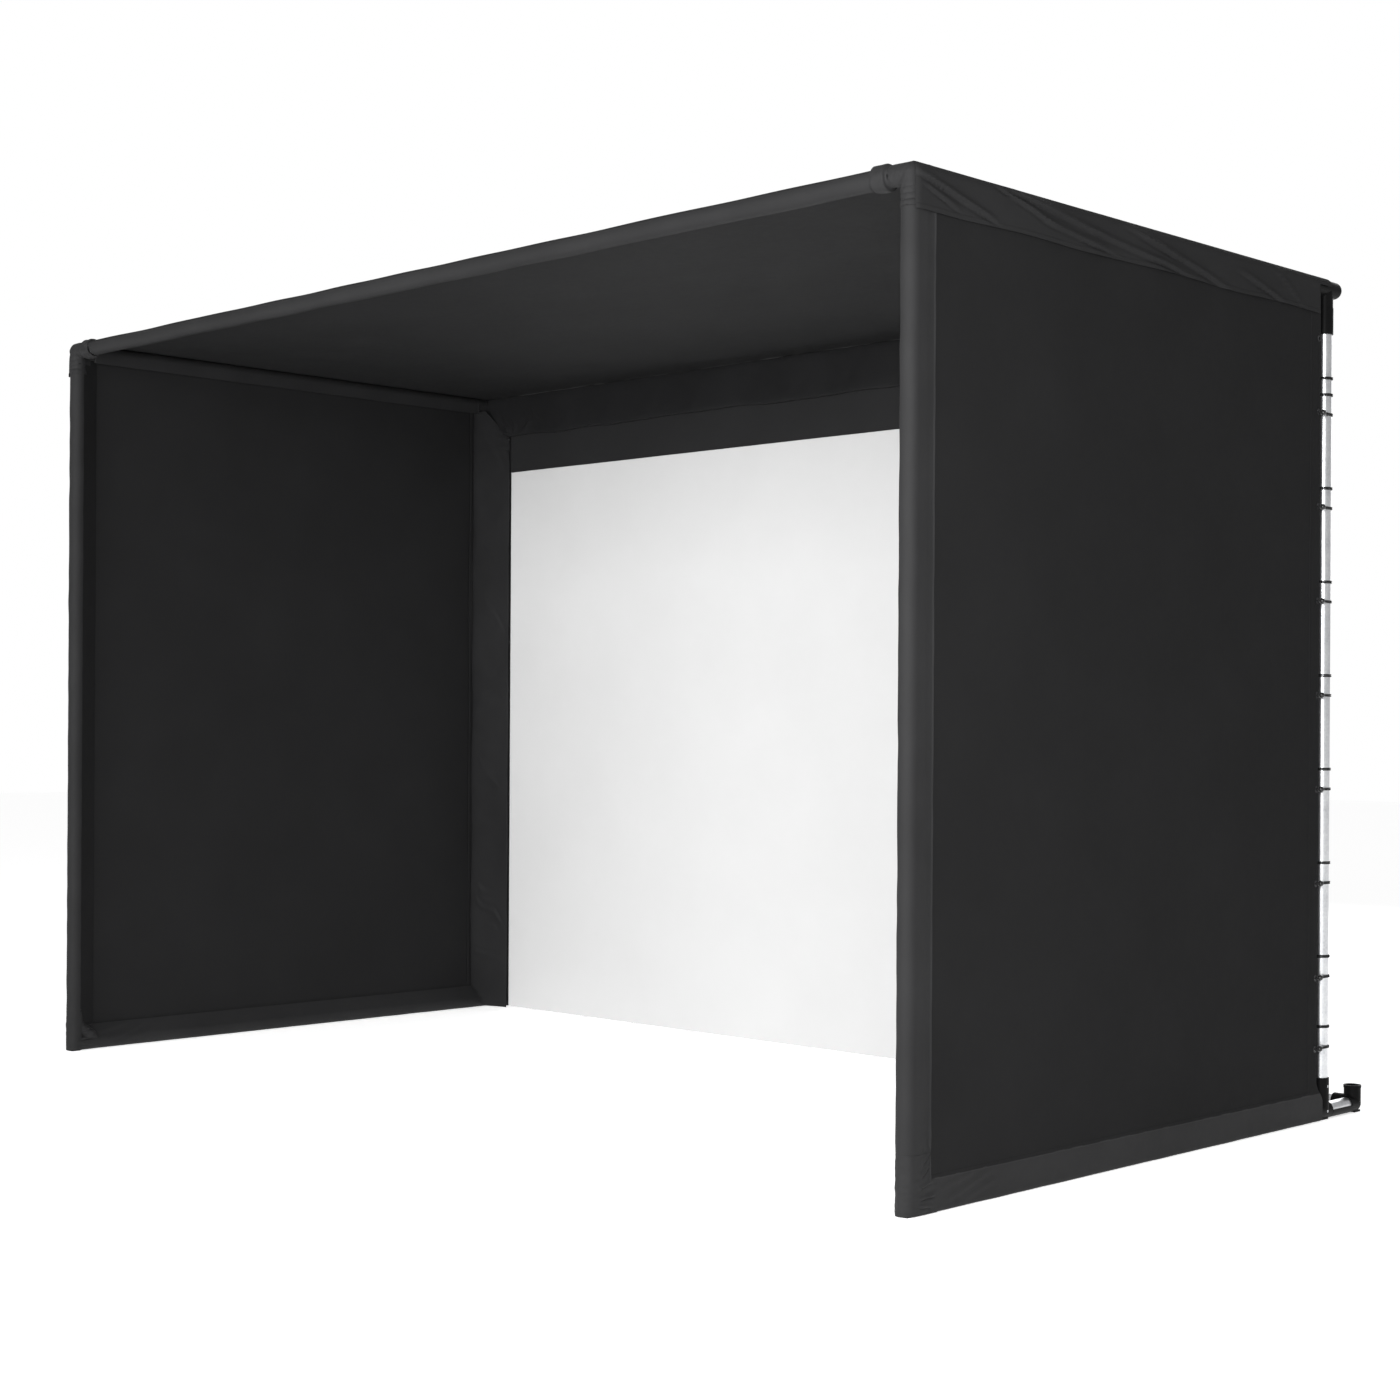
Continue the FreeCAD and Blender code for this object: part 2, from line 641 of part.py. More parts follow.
def wall_cover(side, word):
    """A side wall: one sheet with pockets for the post and the floor rail, folded over the top rail."""
    t = size("cloth")
    r = size("sleeve_radius")
    inside, outside = side * (POST_X + CLOTH_IN), side * (POST_X + CLOTH_OUT)
    seam_y = FRONT_Y + size("front_seam")
    seam_z = size("floor_seam")
    cover_y = FRONT_Y + COVER_END
    fold_z = TOP_Z - size("inner_flap")
    lip = CLOTH_OUT - t / 2

    def plan(a, b):
        return Vector(side * (POST_X + a), FRONT_Y + b, FOOT_TOP)

    def section(a, b):
        return Vector(side * (POST_X + a), cover_y, FLOOR_Z + b)

    reach = size("front_seam")
    rise = seam_z - FLOOR_Z
    hollow = size("seam_width")
    edge = size("pocket_corner")
    edge_at = (CLOTH_OUT - edge, size("pocket_corner_z") - FLOOR_Z)
    front = ((0, 0, r), (lip, reach, t / 2))
    front_inner = ((0, 0, r - t), (lip - t, reach - hollow, t / 4))
    bottom = ((0, 0, r), (*edge_at, edge), (lip, rise, t / 2))
    bottom_inner = ((0, 0, r - t), (*edge_at, edge - t), (lip - t, rise - hollow, t / 4))
    up = Vector(0, 0, TOP_Z - COVER_END - FOOT_TOP)
    back = Vector(0, WALL_REAR_Y - cover_y, 0)
    rail = Vector(side * POST_X, cover_y, TOP_Z)
    upper = slab(
        (side * (POST_X + ROOM), cover_y, TOP_Z),
        (side * (POST_X - ROOM), WALL_REAR_Y, TOP_Z + ROOM),
    )
    over = Part.makeCylinder(CLOTH_OUT, back.y, rail, back)
    over = over.cut(Part.makeCylinder(CLOTH_IN, back.y, rail, back))
    over = over.common(upper)
    leg = (side * (POST_X - CLOTH_IN), side * (POST_X - CLOTH_OUT))
    pieces = [
        slab((inside, seam_y, FOOT_TOP), (outside, cover_y, TOP_Z - COVER_END)),
        slab((inside, cover_y, seam_z), (outside, WALL_REAR_Y, TOP_Z)),
        slab((leg[0], cover_y, fold_z), (leg[1], WALL_REAR_Y, TOP_Z)),
        over,
        pocket(front, front_inner, plan, up),
        pocket(bottom, bottom_inner, section, back),
    ]
    shape = drill(join(pieces), wall_grommets(side), DIRECTIONS["+X"])
    return feature(f"{word}_wall_cover", shape)


def roof_cover():
    """The roof: one sheet with a pocket for the front bar and a flap down each side."""
    t = size("cloth")
    r = size("sleeve_radius")
    edge = POST_X + ROOF_OUT
    gap = size("cover_gap")
    reach = POST_X - size("bar_reach") - size("cover_overlap") - gap
    front = FRONT_Y - r + t
    lip = ROOF_OUT - t / 2
    seam = size("roof_seam")

    def section(a, b):
        return Vector(-reach, FRONT_Y + a, TOP_Z + b)

    sleeve = pocket(
        ((0, 0, r), (seam, lip, t / 2)),
        ((0, 0, r - t), (seam - size("roof_seam_width"), lip - t, t / 4)),
        section,
        Vector(2 * reach, 0, 0),
    )
    under = TOP_Z + ROOF_IN
    top = TOP_Z + ROOF_OUT
    pieces = [
        slab((-edge, FRONT_Y + seam, under), (edge, ROOF_REAR_Y, top)),
        sleeve,
    ]
    for side in (LEFT, RIGHT):
        rim = side * edge
        pieces.append(slab((rim, front, under), (side * (reach + gap), FRONT_Y + seam, top)))
        flap_low = TOP_Z - size("outer_flap")
        flap_end = REAR_Y - size("flap_rear")
        pieces.append(slab((rim, front, flap_low), (rim - side * t, flap_end, top)))
    return feature("roof_cover", drill(join(pieces), roof_grommets(), DIRECTIONS["+Z"]))


def sleeve_pair(radius, arms, hub):
    """Cylinders along the arms with a ball at their meeting point."""
    solids = [Part.makeSphere(radius, hub)]
    solids += [Part.makeCylinder(radius, length, hub, DIRECTIONS[way]) for way, length in arms]
    return join(solids)


def corner_cover(label, hub, arms, panel, floor):
    """Cloth fitted over a fitting: sleeves on its sockets and a flat outer panel."""
    shell = sleeve_pair(CLOTH_OUT, arms, hub).fuse(panel)
    hollow_arms = [(way, length + size("cover_gap")) for way, length in arms]
    shell = shell.cut(sleeve_pair(CLOTH_IN, hollow_arms, hub))
    room = slab((hub.x - ROOM, hub.y - ROOM, floor), (hub.x + ROOM, hub.y + ROOM, TOP_Z + ROOM))
    return feature(label, shell.common(room))


def front_covers(side, word):
    overlap = size("cover_overlap")
    inside, outside = side * (POST_X + CLOTH_IN), side * (POST_X + CLOTH_OUT)
    gap = size("cover_gap")
    y_end = FRONT_Y + COVER_END - gap
    top_hub = Vector(side * POST_X, FRONT_Y, TOP_Z)
    top_arms = (
        (inward(side), size("bar_reach") + overlap),
        ("+Y", COVER_END - gap),
        ("-Z", COVER_END - gap),
    )
    top_panel = slab((inside, FRONT_Y, TOP_Z - COVER_END + gap), (outside, y_end, TOP_Z))
    corner_cover(f"front_{word}_corner_cover", top_hub, top_arms, top_panel, 0)
    foot_hub = Vector(side * POST_X, FRONT_Y, FLOOR_Z)
    foot_arms = (("+Y", COVER_END - gap), ("+Z", size("foot_reach") + overlap - gap))
    skirt = size("base_height") + gap
    foot_panel = slab((inside, FRONT_Y, skirt), (outside, y_end, FOOT_TOP - gap))
    corner_cover(f"front_{word}_foot_cover", foot_hub, foot_arms, foot_panel, skirt)


def polygon_prism(points, plane, run):
    corners = [plane(a, b) for a, b in points]
    return Part.Face(Part.makePolygon([*corners, corners[0]])).extrude(run)


def inset(points, distance):
    """Move each side of an anticlockwise outline inward by a distance."""
    count = len(points)
    lines = []
    for index, (a1, b1) in enumerate(points):
        a2, b2 = points[(index + 1) % count]
        span = math.hypot(a2 - a1, b2 - b1)
        na, nb = -(b2 - b1) / span, (a2 - a1) / span
        lines.append((na, nb, na * a1 + nb * b1 + distance))
    corners = []
    for index in range(count):
        na1, nb1, c1 = lines[index - 1]
        na2, nb2, c2 = lines[index]
        det = na1 * nb2 - na2 * nb1
        corners.append(((c1 * nb2 - c2 * nb1) / det, (na1 * c2 - na2 * c1) / det))
    return corners


def side_pad_section():
    """Outline across a side pad: a is out from the post axis, b is Y."""
    inner, outer = -size("pad_inner"), size("pad_outer")
    return [
        (inner, REAR_Y - size("side_face_inner")),
        (outer, REAR_Y - size("side_face_outer")),
        (outer, REAR_Y - size("side_back_outer")),
        (inner, REAR_Y - size("side_back_inner")),
    ]


def mitre_height(offset):
    """Height of the 45 degree mitre between a side pad and the top pad, at an offset from the post axis."""
    return size("pad_low") + size("pad_inner") + offset


def side_pad_outline():
    """Outline of a side pad from the front, notched for the rails' pockets: a is out, b is Z."""
    inner, notch, outer = -size("pad_inner"), -size("pad_notch"), size("pad_outer")
    bottom = size("pad_bottom")
    low = size("floor_seam") + size("pad_clearance")
    high = TOP_Z - size("inner_flap") - size("pad_clearance")
    split = size("pad_split") / 2
    return [
        (inner, bottom),
        (notch, bottom),
        (notch, low),
        (outer, low),
        (outer, high),
        (notch, high),
        (notch, mitre_height(notch) - split),
        (inner, mitre_height(inner) - split),
    ]


def top_pad_section():
    """Outline across the top pad: a is Y, b is Z."""
    low, high = size("pad_low"), TOP_Z + ROOF_IN
    return [
        (REAR_Y - size("top_face_low"), low),
        (REAR_Y - size("top_back_low"), low),
        (REAR_Y - size("top_back_high"), high),
        (REAR_Y - size("top_face_high"), high),
    ]


def top_pad_outline():
    """Outline of the top pad from the front: a is X, b is Z."""
    inner, notch = POST_X - size("pad_inner"), POST_X - size("pad_notch")
    split = size("pad_split") / 2
    low, shoulder = (mitre_height(x - POST_X) + split for x in (inner, notch))
    high = TOP_Z + ROOF_IN - size("pad_clearance")
    return [(-inner, low), (inner, low), (notch, shoulder), (notch, high), (-notch, high), (-notch, shoulder)]


def pad_nodes(name, section, section_plane, section_run, outline, outline_plane):
    """A pad's sewn cover and the foam inside it, each where a section and an outline overlap."""
    depth = Vector(0, 2 * size("side_face_outer"), 0)

    def solid(clear):
        across = polygon_prism(inset(section, clear), section_plane, section_run)
        return across.common(polygon_prism(inset(outline, clear), outline_plane, depth))

    skin = size("pad_skin")
    feature(f"{name}_cover", solid(0).cut(solid(skin)))
    feature(f"{name}_foam", solid(skin + size("cloth_gap")))


def side_pad(side, word):
    front = REAR_Y - 2 * size("side_face_outer")
    pad_nodes(
        f"{word}_pad",
        side_pad_section(),
        lambda a, b: Vector(side * (POST_X + a), b, 0),
        Vector(0, 0, TOP_Z),
        side_pad_outline(),
        lambda a, b: Vector(side * (POST_X + a), front, b),
    )


def top_pad():
    front = REAR_Y - 2 * size("side_face_outer")
    pad_nodes(
        "top_pad",
        top_pad_section(),
        lambda a, b: Vector(-POST_X, a, b),
        Vector(2 * POST_X, 0, 0),
        top_pad_outline(),
        lambda a, b: Vector(a, front, b),
    )


def impact_screen():
    """The white cloth, its black top band, its side webbing and the skirt folded back at the floor."""
    t = size("cloth")
    half = POST_X - size("screen_inset")
    edge = half + size("webbing_width")
    front, back = SCREEN_Y - t / 2, SCREEN_Y + t / 2
    low, band_low, band_high = size("screen_bottom"), size("band_low"), size("band_high")
    seam = 0.1
    feature("impact_screen", slab((-half, front, low), (half, back, band_low)))
    band = slab((-edge, front, band_low + seam), (edge, back, band_high))
    side_high = [p for side in (LEFT, RIGHT) for p in screen_side_grommets(side)]
    holes = screen_top_grommets() + [p for p in side_high if p.z > band_low]
    feature("screen_top_band", drill(band, holes, DIRECTIONS["+Y"]))
    strips = []
    for side in (LEFT, RIGHT):
        strip = slab((side * (half + seam), front, low), (side * edge, back, band_low))
        holes = [p for p in screen_side_grommets(side) if p.z < band_low]
        strips.append(drill(strip, holes, DIRECTIONS["+Y"]))
    feature("screen_side_webbing", Part.makeCompound(strips))
    skirt = slab((-half, back + seam, low), (half, SCREEN_Y + size("skirt_depth"), low + t))
    feature("screen_skirt", drill(skirt, skirt_grommets(), DIRECTIONS["+Z"]))


def grommet():
    """An eyelet on the origin, its hole along +Z, with a flange on each face of the cloth."""
    t = size("cloth")
    flange = size("flange")
    half = t / 2 + size("flange_gap")
    bore, barrel, rim = (size(name) / 2 for name in ("grommet_id", "barrel_od", "grommet_od"))
    profile = [
        Vector(bore, 0, -half - flange),
        Vector(rim, 0, -half - flange),
        Vector(rim, 0, -half),
        Vector(barrel, 0, -half),
        Vector(barrel, 0, half),
        Vector(rim, 0, half),
        Vector(rim, 0, half + flange),
        Vector(bore, 0, half + flange),
    ]
    face = Part.Face(Part.makePolygon([*profile, profile[0]]))
    return face.revolve(Vector(), DIRECTIONS["+Z"], FULL_TURN)


def set_out(master, points, direction):
    """Copies of a shape at points, its +Z turned along a direction."""
    turn = FreeCAD.Rotation(DIRECTIONS["+Z"], direction)
    copies = []
    for point in points:
        copy = master.copy()
        copy.Placement = FreeCAD.Placement(point, turn).multiply(copy.Placement)
        copies.append(copy)
    return copies


def grommet_nodes():
    master = grommet()
    for side, word in ((LEFT, "left"), (RIGHT, "right")):
        rings = set_out(master, wall_grommets(side), DIRECTIONS["+X"])
        feature(f"{word}_wall_grommets", Part.makeCompound(rings))
    feature("roof_grommets", Part.makeCompound(set_out(master, roof_grommets(), DIRECTIONS["+Z"])))
    rings = [p for side in (LEFT, RIGHT) for p in screen_side_grommets(side)] + screen_top_grommets()
    upright = set_out(master, rings, DIRECTIONS["+Y"])
    flat = set_out(master, skirt_grommets(), DIRECTIONS["+Z"])
    feature("screen_grommets", Part.makeCompound(upright + flat))


def hold_radius(cord):
    """Radius of a bungee's own axis round its tube."""
    return size("tube_od") / 2 + cord / 2 + size("cord_clearance")


def bungee(tube_at, edge_at, plane, cord):
    """One elastic loop round a tube and the cloth's edge, with its volume checked."""
    hold = hold_radius(cord)
    path = hull_wire(((*tube_at, hold), (*edge_at, size("edge_turn"))), plane)
    first = path.OrderedEdges[0]
    start, heading = first.valueAt(first.FirstParameter), first.tangentAt(first.FirstParameter)
    ring = Part.Wire([Part.makeCircle(cord / 2, start, heading)])
    loop = path.makePipeShell([ring], True, False)
    expected = path.Length * math.pi * cord * cord / 4
    if abs(loop.Volume - expected) > expected * VOLUME_TOLERANCE:
        raise ValueError(f"bungee volume {loop.Volume:.0f}, expected {expected:.0f}")
    return loop


def drilled_ball(cord):
    """A ball on the origin, drilled along Z for its cord."""
    bore = cord / 2 + size("cloth_gap")
    radius = size("ball_od") / 2
    mouth = math.sqrt(radius * radius - bore * bore)
    low, high = Vector(bore, 0, -mouth), Vector(bore, 0, mouth)
    outside = Part.Arc(low, Vector(radius, 0, 0), high).toShape()
    hole = Part.LineSegment(high, low).toShape()
    return Part.Face(Part.Wire([outside, hole])).revolve(Vector(), DIRECTIONS["+Z"], FULL_TURN)


def ball(tube_at, edge_at, plane, cord, turn_side):
    """The bungee's ball, threaded on the strand on one side of the loop."""
    hold = hold_radius(cord)
    small = size("edge_turn")
    da, db = edge_at[0] - tube_at[0], edge_at[1] - tube_at[1]
    span = math.hypot(da, db)
    ea, eb = da / span, db / span
    lean = (hold - small) / span
    flat = math.sqrt(1 - lean * lean) * turn_side
    na, nb = ea * lean + eb * flat, eb * lean - ea * flat
    sa, sb = nb * turn_side, -na * turn_side
    reach = size("ball_run")
    a = edge_at[0] + small * na + sa * reach
    b = edge_at[1] + small * nb + sb * reach
    centre = plane(a, b)
    heading = plane(a + sa, b + sb) - centre
    return set_out(drilled_ball(cord), [centre], heading)[0]


def moved(shape, offsets):
    copies = []
    for offset in offsets:
        copy = shape.copy()
        copy.translate(offset)
        copies.append(copy)
    return copies


def wall_bungees():
    """Loops from the walls' rear edges to the rear posts."""
    cord = size("cord_od")
    rise = [Vector(0, 0, z) for z in wall_heights()]
    edge_y = WALL_REAR_Y - size("hem_margin") + size("edge_turn")
    balls = []
    for side, word in ((LEFT, "left"), (RIGHT, "right")):
        ends = ((0, REAR_Y), (WALL_X - POST_X, edge_y))

        def plan(a, b):
            return Vector(side * (POST_X + a), b, 0)

        loops = moved(bungee(*ends, plan, cord), rise)
        feature(f"{word}_wall_bungees", Part.makeCompound(loops))
        balls += moved(ball(*ends, plan, cord, -1), rise)
    return balls


def roof_bungees():
    """Loops from the roof's rear edge to the top rear bar."""
    cord = size("cord_od")
    edge_y = ROOF_REAR_Y - size("hem_margin") + size("edge_turn")
    ends = ((TOP_BAR_Y, TOP_Z), (edge_y, TOP_Z + (ROOF_IN + ROOF_OUT) / 2))
    along = [Vector(x, 0, 0) for x in bar_places(ROOF_BUNGEES)]

    def section(a, b):
        return Vector(0, a, b)

    feature("roof_bungees", Part.makeCompound(moved(bungee(*ends, section, cord), along)))
    return moved(ball(*ends, section, cord, 1), along)


def screen_bungees():
    """Loops from the screen's four edges to the posts and the two rear bars."""
    cord = size("cord_od")
    turn = size("edge_turn")
    margin = size("hem_margin")
    balls = []
    side_loops = []
    grommet_in = size("screen_inset") - size("webbing_width") + margin
    rise = [Vector(0, 0, z) for z in screen_heights()]
    for side in (LEFT, RIGHT):
        ends = ((0, REAR_Y), (turn - grommet_in, SCREEN_Y))

        def plan(a, b):
            return Vector(side * (POST_X + a), b, 0)

        side_loops += moved(bungee(*ends, plan, cord), rise)
        balls += moved(ball(*ends, plan, cord, -1), rise)
    feature("screen_side_bungees", Part.makeCompound(side_loops))

    def section(a, b):
        return Vector(0, a, b)

    along = [Vector(x, 0, 0) for x in bar_places(BAR_BUNGEES)]
    ends = ((TOP_BAR_Y, TOP_Z), (SCREEN_Y, size("band_high") - margin + turn))
    feature("screen_top_bungees", Part.makeCompound(moved(bungee(*ends, section, cord), along)))
    balls += moved(ball(*ends, section, cord, 1), along)

    thin = size("floor_cord_od")
    along = [Vector(x, 0, 0) for x in bar_places(BAR_BUNGEES)]
    skirt_y = SCREEN_Y + size("skirt_depth") - margin + turn
    ends = ((FLOOR_BAR_Y, FLOOR_Z), (skirt_y, size("screen_bottom") + size("cloth") / 2))
    feature("screen_bottom_bungees", Part.makeCompound(moved(bungee(*ends, section, thin), along)))
    balls += moved(ball(*ends, section, thin, 1), along)
    feature("screen_bungee_balls", Part.makeCompound(balls))


def check_document():
    """Stop if any object failed or any sub-part's shape is unsound."""
    for thing in doc.Objects:
        if "Invalid" in thing.State or "Error" in thing.State:
            raise ValueError(f"{thing.Name}: {thing.State}")
    for node in nodes:
        if node.Shape.isNull() or not node.Shape.isValid():
            raise ValueError(f"{node.Label}: unsound shape")
        if node.Shape.Volume <= 0:
            raise ValueError(f"{node.Label}: no volume")


def write_parts():
    os.makedirs("parts", exist_ok=True)
    for node in nodes:
        node.Shape.exportStep(f"parts/{node.Label}.step")
        print(node.Label, len(node.Shape.Solids), "solids")


cross_bars()
for hand, hand_word in ((LEFT, "left"), (RIGHT, "right")):
    posts(hand, hand_word)
    side_rails(hand, hand_word)
    front_top_corner(hand, hand_word)
    front_foot(hand, hand_word)
    rear_top_corner(hand, hand_word)
    rear_foot_tee(hand, hand_word)
    rear_floor_corner(hand, hand_word)
    eye_bolt(hand, hand_word)
    wall_cover(hand, hand_word)
    front_covers(hand, hand_word)
    side_pad(hand, hand_word)
set_screws()
roof_cover()
top_pad()
impact_screen()
grommet_nodes()
held_balls = wall_bungees() + roof_bungees()
feature("cover_bungee_balls", Part.makeCompound(held_balls))
screen_bungees()
doc.recompute()
check_document()
write_parts()
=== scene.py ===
"""The looks of the hitting bay: cloth, pads, screen, cords and every material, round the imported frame.

Metres. +Z is up, the open front faces -Y and the impact screen closes the +Y end.
"""

import math

import bmesh
import bpy
import numpy as np
from mathutils import Matrix, Vector


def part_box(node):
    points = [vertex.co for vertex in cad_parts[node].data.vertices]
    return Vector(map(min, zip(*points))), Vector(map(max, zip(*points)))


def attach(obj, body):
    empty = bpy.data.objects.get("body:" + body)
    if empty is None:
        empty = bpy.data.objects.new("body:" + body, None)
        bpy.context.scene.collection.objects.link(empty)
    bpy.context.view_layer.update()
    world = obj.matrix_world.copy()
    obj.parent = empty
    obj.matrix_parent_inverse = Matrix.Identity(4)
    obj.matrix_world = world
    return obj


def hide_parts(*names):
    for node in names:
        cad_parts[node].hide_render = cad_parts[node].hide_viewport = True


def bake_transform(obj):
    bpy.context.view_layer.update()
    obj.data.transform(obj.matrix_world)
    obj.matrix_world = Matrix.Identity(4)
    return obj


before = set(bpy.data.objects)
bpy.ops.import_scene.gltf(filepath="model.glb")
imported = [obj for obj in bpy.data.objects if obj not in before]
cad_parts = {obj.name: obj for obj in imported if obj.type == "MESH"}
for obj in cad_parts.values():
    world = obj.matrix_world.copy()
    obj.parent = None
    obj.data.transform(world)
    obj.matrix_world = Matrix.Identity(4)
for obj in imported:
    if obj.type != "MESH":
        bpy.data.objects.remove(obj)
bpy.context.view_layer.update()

MM = 0.001
CLOTH = 1.2 * MM
LEFT, RIGHT = -1, 1
SIDES = ((LEFT, "left"), (RIGHT, "right"))


def low(node):
    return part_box(node)[0]


def high(node):
    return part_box(node)[1]


def middle(node):
    return (low(node) + high(node)) / 2


# Places that the pieces share, read from the frame.
POST_X = middle("front_right_post").x
FRONT_Y = middle("front_right_post").y
REAR_Y = middle("rear_right_post").y
TOP_Z = middle("top_right_rail").z
FLOOR_Z = middle("floor_right_rail").z
TOP_BAR_Y = middle("top_rear_bar_right").y
FLOOR_BAR_Y = middle("floor_rear_bar_right").y
TUBE_R = high("front_right_post").x - POST_X
WALL_R = high("right_wall_cover").x - POST_X - CLOTH / 2
WALL_REAR_Y = high("right_wall_cover").y
ROOF_Z = high("roof_cover").z - CLOTH / 2
ROOF_X = high("roof_cover").x - CLOTH / 2
ROOF_REAR_Y = high("roof_cover").y
FLAP_Z = low("roof_cover").z
FOOT_TOP_Z = high("front_right_foot_cover").z
CORNER_LOW_Z = low("front_right_corner_cover").z
COVER_REAR_Y = high("front_right_corner_cover").y
CUFF_X = low("front_right_corner_cover").x
SCREEN_Y = middle("impact_screen").y
SCREEN_X = high("impact_screen").x
BAND_X = high("screen_top_band").x
BAND_LOW_Z = low("screen_top_band").z
BAND_TOP_Z = high("screen_top_band").z
SCREEN_LOW_Z = low("impact_screen").z
SKIRT_REAR_Y = high("screen_skirt").y


# Mesh helpers


def place_object(name, data):
    """Put an object with this mesh, light or camera in the scene."""
    thing = bpy.data.objects.new(name, data)
    bpy.context.scene.collection.objects.link(thing)
    return thing


def new_object(name, points, faces):
    mesh = bpy.data.meshes.new(name)
    mesh.from_pydata([tuple(p) for p in points], [], [tuple(f) for f in faces])
    mesh.update()
    return place_object(name, mesh)


def box_of(points):
    """The lowest and the highest corner of a box round points."""
    return Vector(map(min, zip(*points))), Vector(map(max, zip(*points)))


def add_shape(vertices, faces, points, joined):
    """Add a shape's points and faces to the lists of both."""
    start = len(vertices)
    vertices.extend(points)
    faces.extend([[v + start for v in face] for face in joined])


def from_bmesh(name, shape):
    mesh = bpy.data.meshes.new(name)
    shape.to_mesh(mesh)
    shape.free()
    return place_object(name, mesh)


def face_outward(thing):
    """Make a closed mesh's faces point out."""
    shape = bmesh.new()
    shape.from_mesh(thing.data)
    bmesh.ops.recalc_face_normals(shape, faces=shape.faces)
    shape.to_mesh(thing.data)
    shape.free()


def settle(thing):
    """Apply an object's modifiers to its mesh."""
    bpy.context.view_layer.update()
    graph = bpy.context.evaluated_depsgraph_get()
    mesh = bpy.data.meshes.new_from_object(thing.evaluated_get(graph))
    thing.modifiers.clear()
    thing.data = mesh
    return thing


def smooth(thing, angle=40):
    thing.data.shade_smooth()
    thing.data.set_sharp_from_angle(angle=math.radians(angle))
    return thing


def thicken(thing, thickness=CLOTH):
    """Give a sheet its thickness, half on each side."""
    solid = thing.modifiers.new("thickness", "SOLIDIFY")
    solid.thickness = thickness
    solid.offset = 0
    solid.use_even_offset = True
    return smooth(settle(thing))


def grid_normals(points):
    """Unit normals of a grid of points, shape (nu, nv, 3)."""
    du = np.gradient(points, axis=0)
    dv = np.gradient(points, axis=1)
    normals = np.cross(du, dv)
    return normals / np.maximum(np.linalg.norm(normals, axis=2, keepdims=True), 1e-12)


def grid_object(name, points, keep=None):
    """An object from a grid of points; keep says which cells are cloth."""
    nu, nv = points.shape[:2]
    index = np.arange(nu * nv).reshape(nu, nv)
    faces = []
    used = set()
    for i in range(nu - 1):
        for j in range(nv - 1):
            if keep is None or keep[i, j]:
                face = (index[i, j], index[i + 1, j], index[i + 1, j + 1], index[i, j + 1])
                faces.append(face)
                used.update(face)
    order = {old: new for new, old in enumerate(sorted(used))}
    flat = points.reshape(-1, 3)
    return new_object(name, [flat[old] for old in order], [[order[v] for v in f] for f in faces])


def ring_faces(count, around, closed=False):
    """Faces between neighbouring rings of points, numbered ring by ring."""
    faces = []
    for i in range(count if closed else count - 1):
        n = (i + 1) % count
        for j in range(around):
            k = (j + 1) % around
            faces.append((i * around + j, i * around + k, n * around + k, n * around + j))
    return faces


def join(name, things):
    """Join mesh objects into one."""
    whole = bmesh.new()
    for thing in things:
        whole.from_mesh(thing.data)
        bpy.data.objects.remove(thing)
    return smooth(from_bmesh(name, whole))


def whole_cells(keep):
    """The cells of a grid whose four corners are all kept."""
    return keep[:-1, :-1] & keep[1:, 1:] & keep[1:, :-1] & keep[:-1, 1:]


def running(points, across, axis):
    """Running length along a grid's first (0) or second (1) direction, at every point of the grid."""
    line = lengths(points)
    return np.repeat(line[:, None], across, 1) if axis == 0 else np.repeat(line[None, :], across, 0)


def lengths(points):
    """Running length along a line of points."""
    steps = np.linalg.norm(np.diff(points, axis=0), axis=1)
    return np.concatenate([[0], np.cumsum(steps)])


def stops(start, *runs):
    """Values along a line, from start to each (end, step) in turn."""
    values = []
    for end, step in runs:
        count = max(1, round(abs(end - start) / step))
        values.extend(np.linspace(start, end, count, endpoint=False))
        start = end
    return np.array([*values, start])


def ease(value, start, end):
    """0 before start, 1 after end, smooth between."""
    t = np.clip((value - start) / (end - start), 0, 1)
    return t * t * (3 - 2 * t)


def bump(value, centre, width):
    """A smooth hill of height 1."""
    return np.exp(-(((value - centre) / width) ** 2))


def strip(value, start, end, edge=1.5 * MM):
    """1 between start and end, with soft edges: a strip of cloth sewn on."""
    return ease(value, start - edge, start + edge) * (1 - ease(value, end - edge, end + edge))


def ripples(points, length, seed, count=9, stretch=None):
    """Smooth random ripples, about -1 to 1, with waves of about this length."""
    rng = np.random.default_rng(seed)
    scaled = points if stretch is None else points * np.array(stretch)
    total = np.zeros(points.shape[:-1])
    for _ in range(count):
        heading = rng.normal(size=points.shape[-1])
        heading /= np.linalg.norm(heading)
        turns = 2 * math.pi / (length * rng.uniform(0.7, 1.5))
        total += np.sin(scaled @ heading * turns + rng.uniform(0, 2 * math.pi))
    return total / math.sqrt(count)


def crease(a, b, start, end, height, width, steep=0.45):
    """A fold between two points of a flat cloth: a rounded ridge with a sharper valley along one side."""
    (a0, b0), (a1, b1) = start, end
    span = math.hypot(a1 - a0, b1 - b0)
    ea, eb = (a1 - a0) / span, (b1 - b0) / span
    along = ((a - a0) * ea + (b - b0) * eb) / span
    across = (-(a - a0) * eb + (b - b0) * ea) / width
    fade = ease(along, -0.12, 0.12) * (1 - ease(along, 0.75, 1.15))
    ridge = np.exp(-(across**2)) - 1.1 * np.exp(-(((across + 1.1) / steep) ** 2))
    return height * ridge * fade


def creases(a, b, folds, scale=1.0):
    """Every fold of a table in millimetres: both ends as (a, b), then height and width."""
    total = np.zeros(a.shape)
    for a0, b0, a1, b1, height, width in folds:
        total += crease(a, b, (a0 * MM, b0 * MM), (a1 * MM, b1 * MM), scale * height * MM, width * MM)
    return total


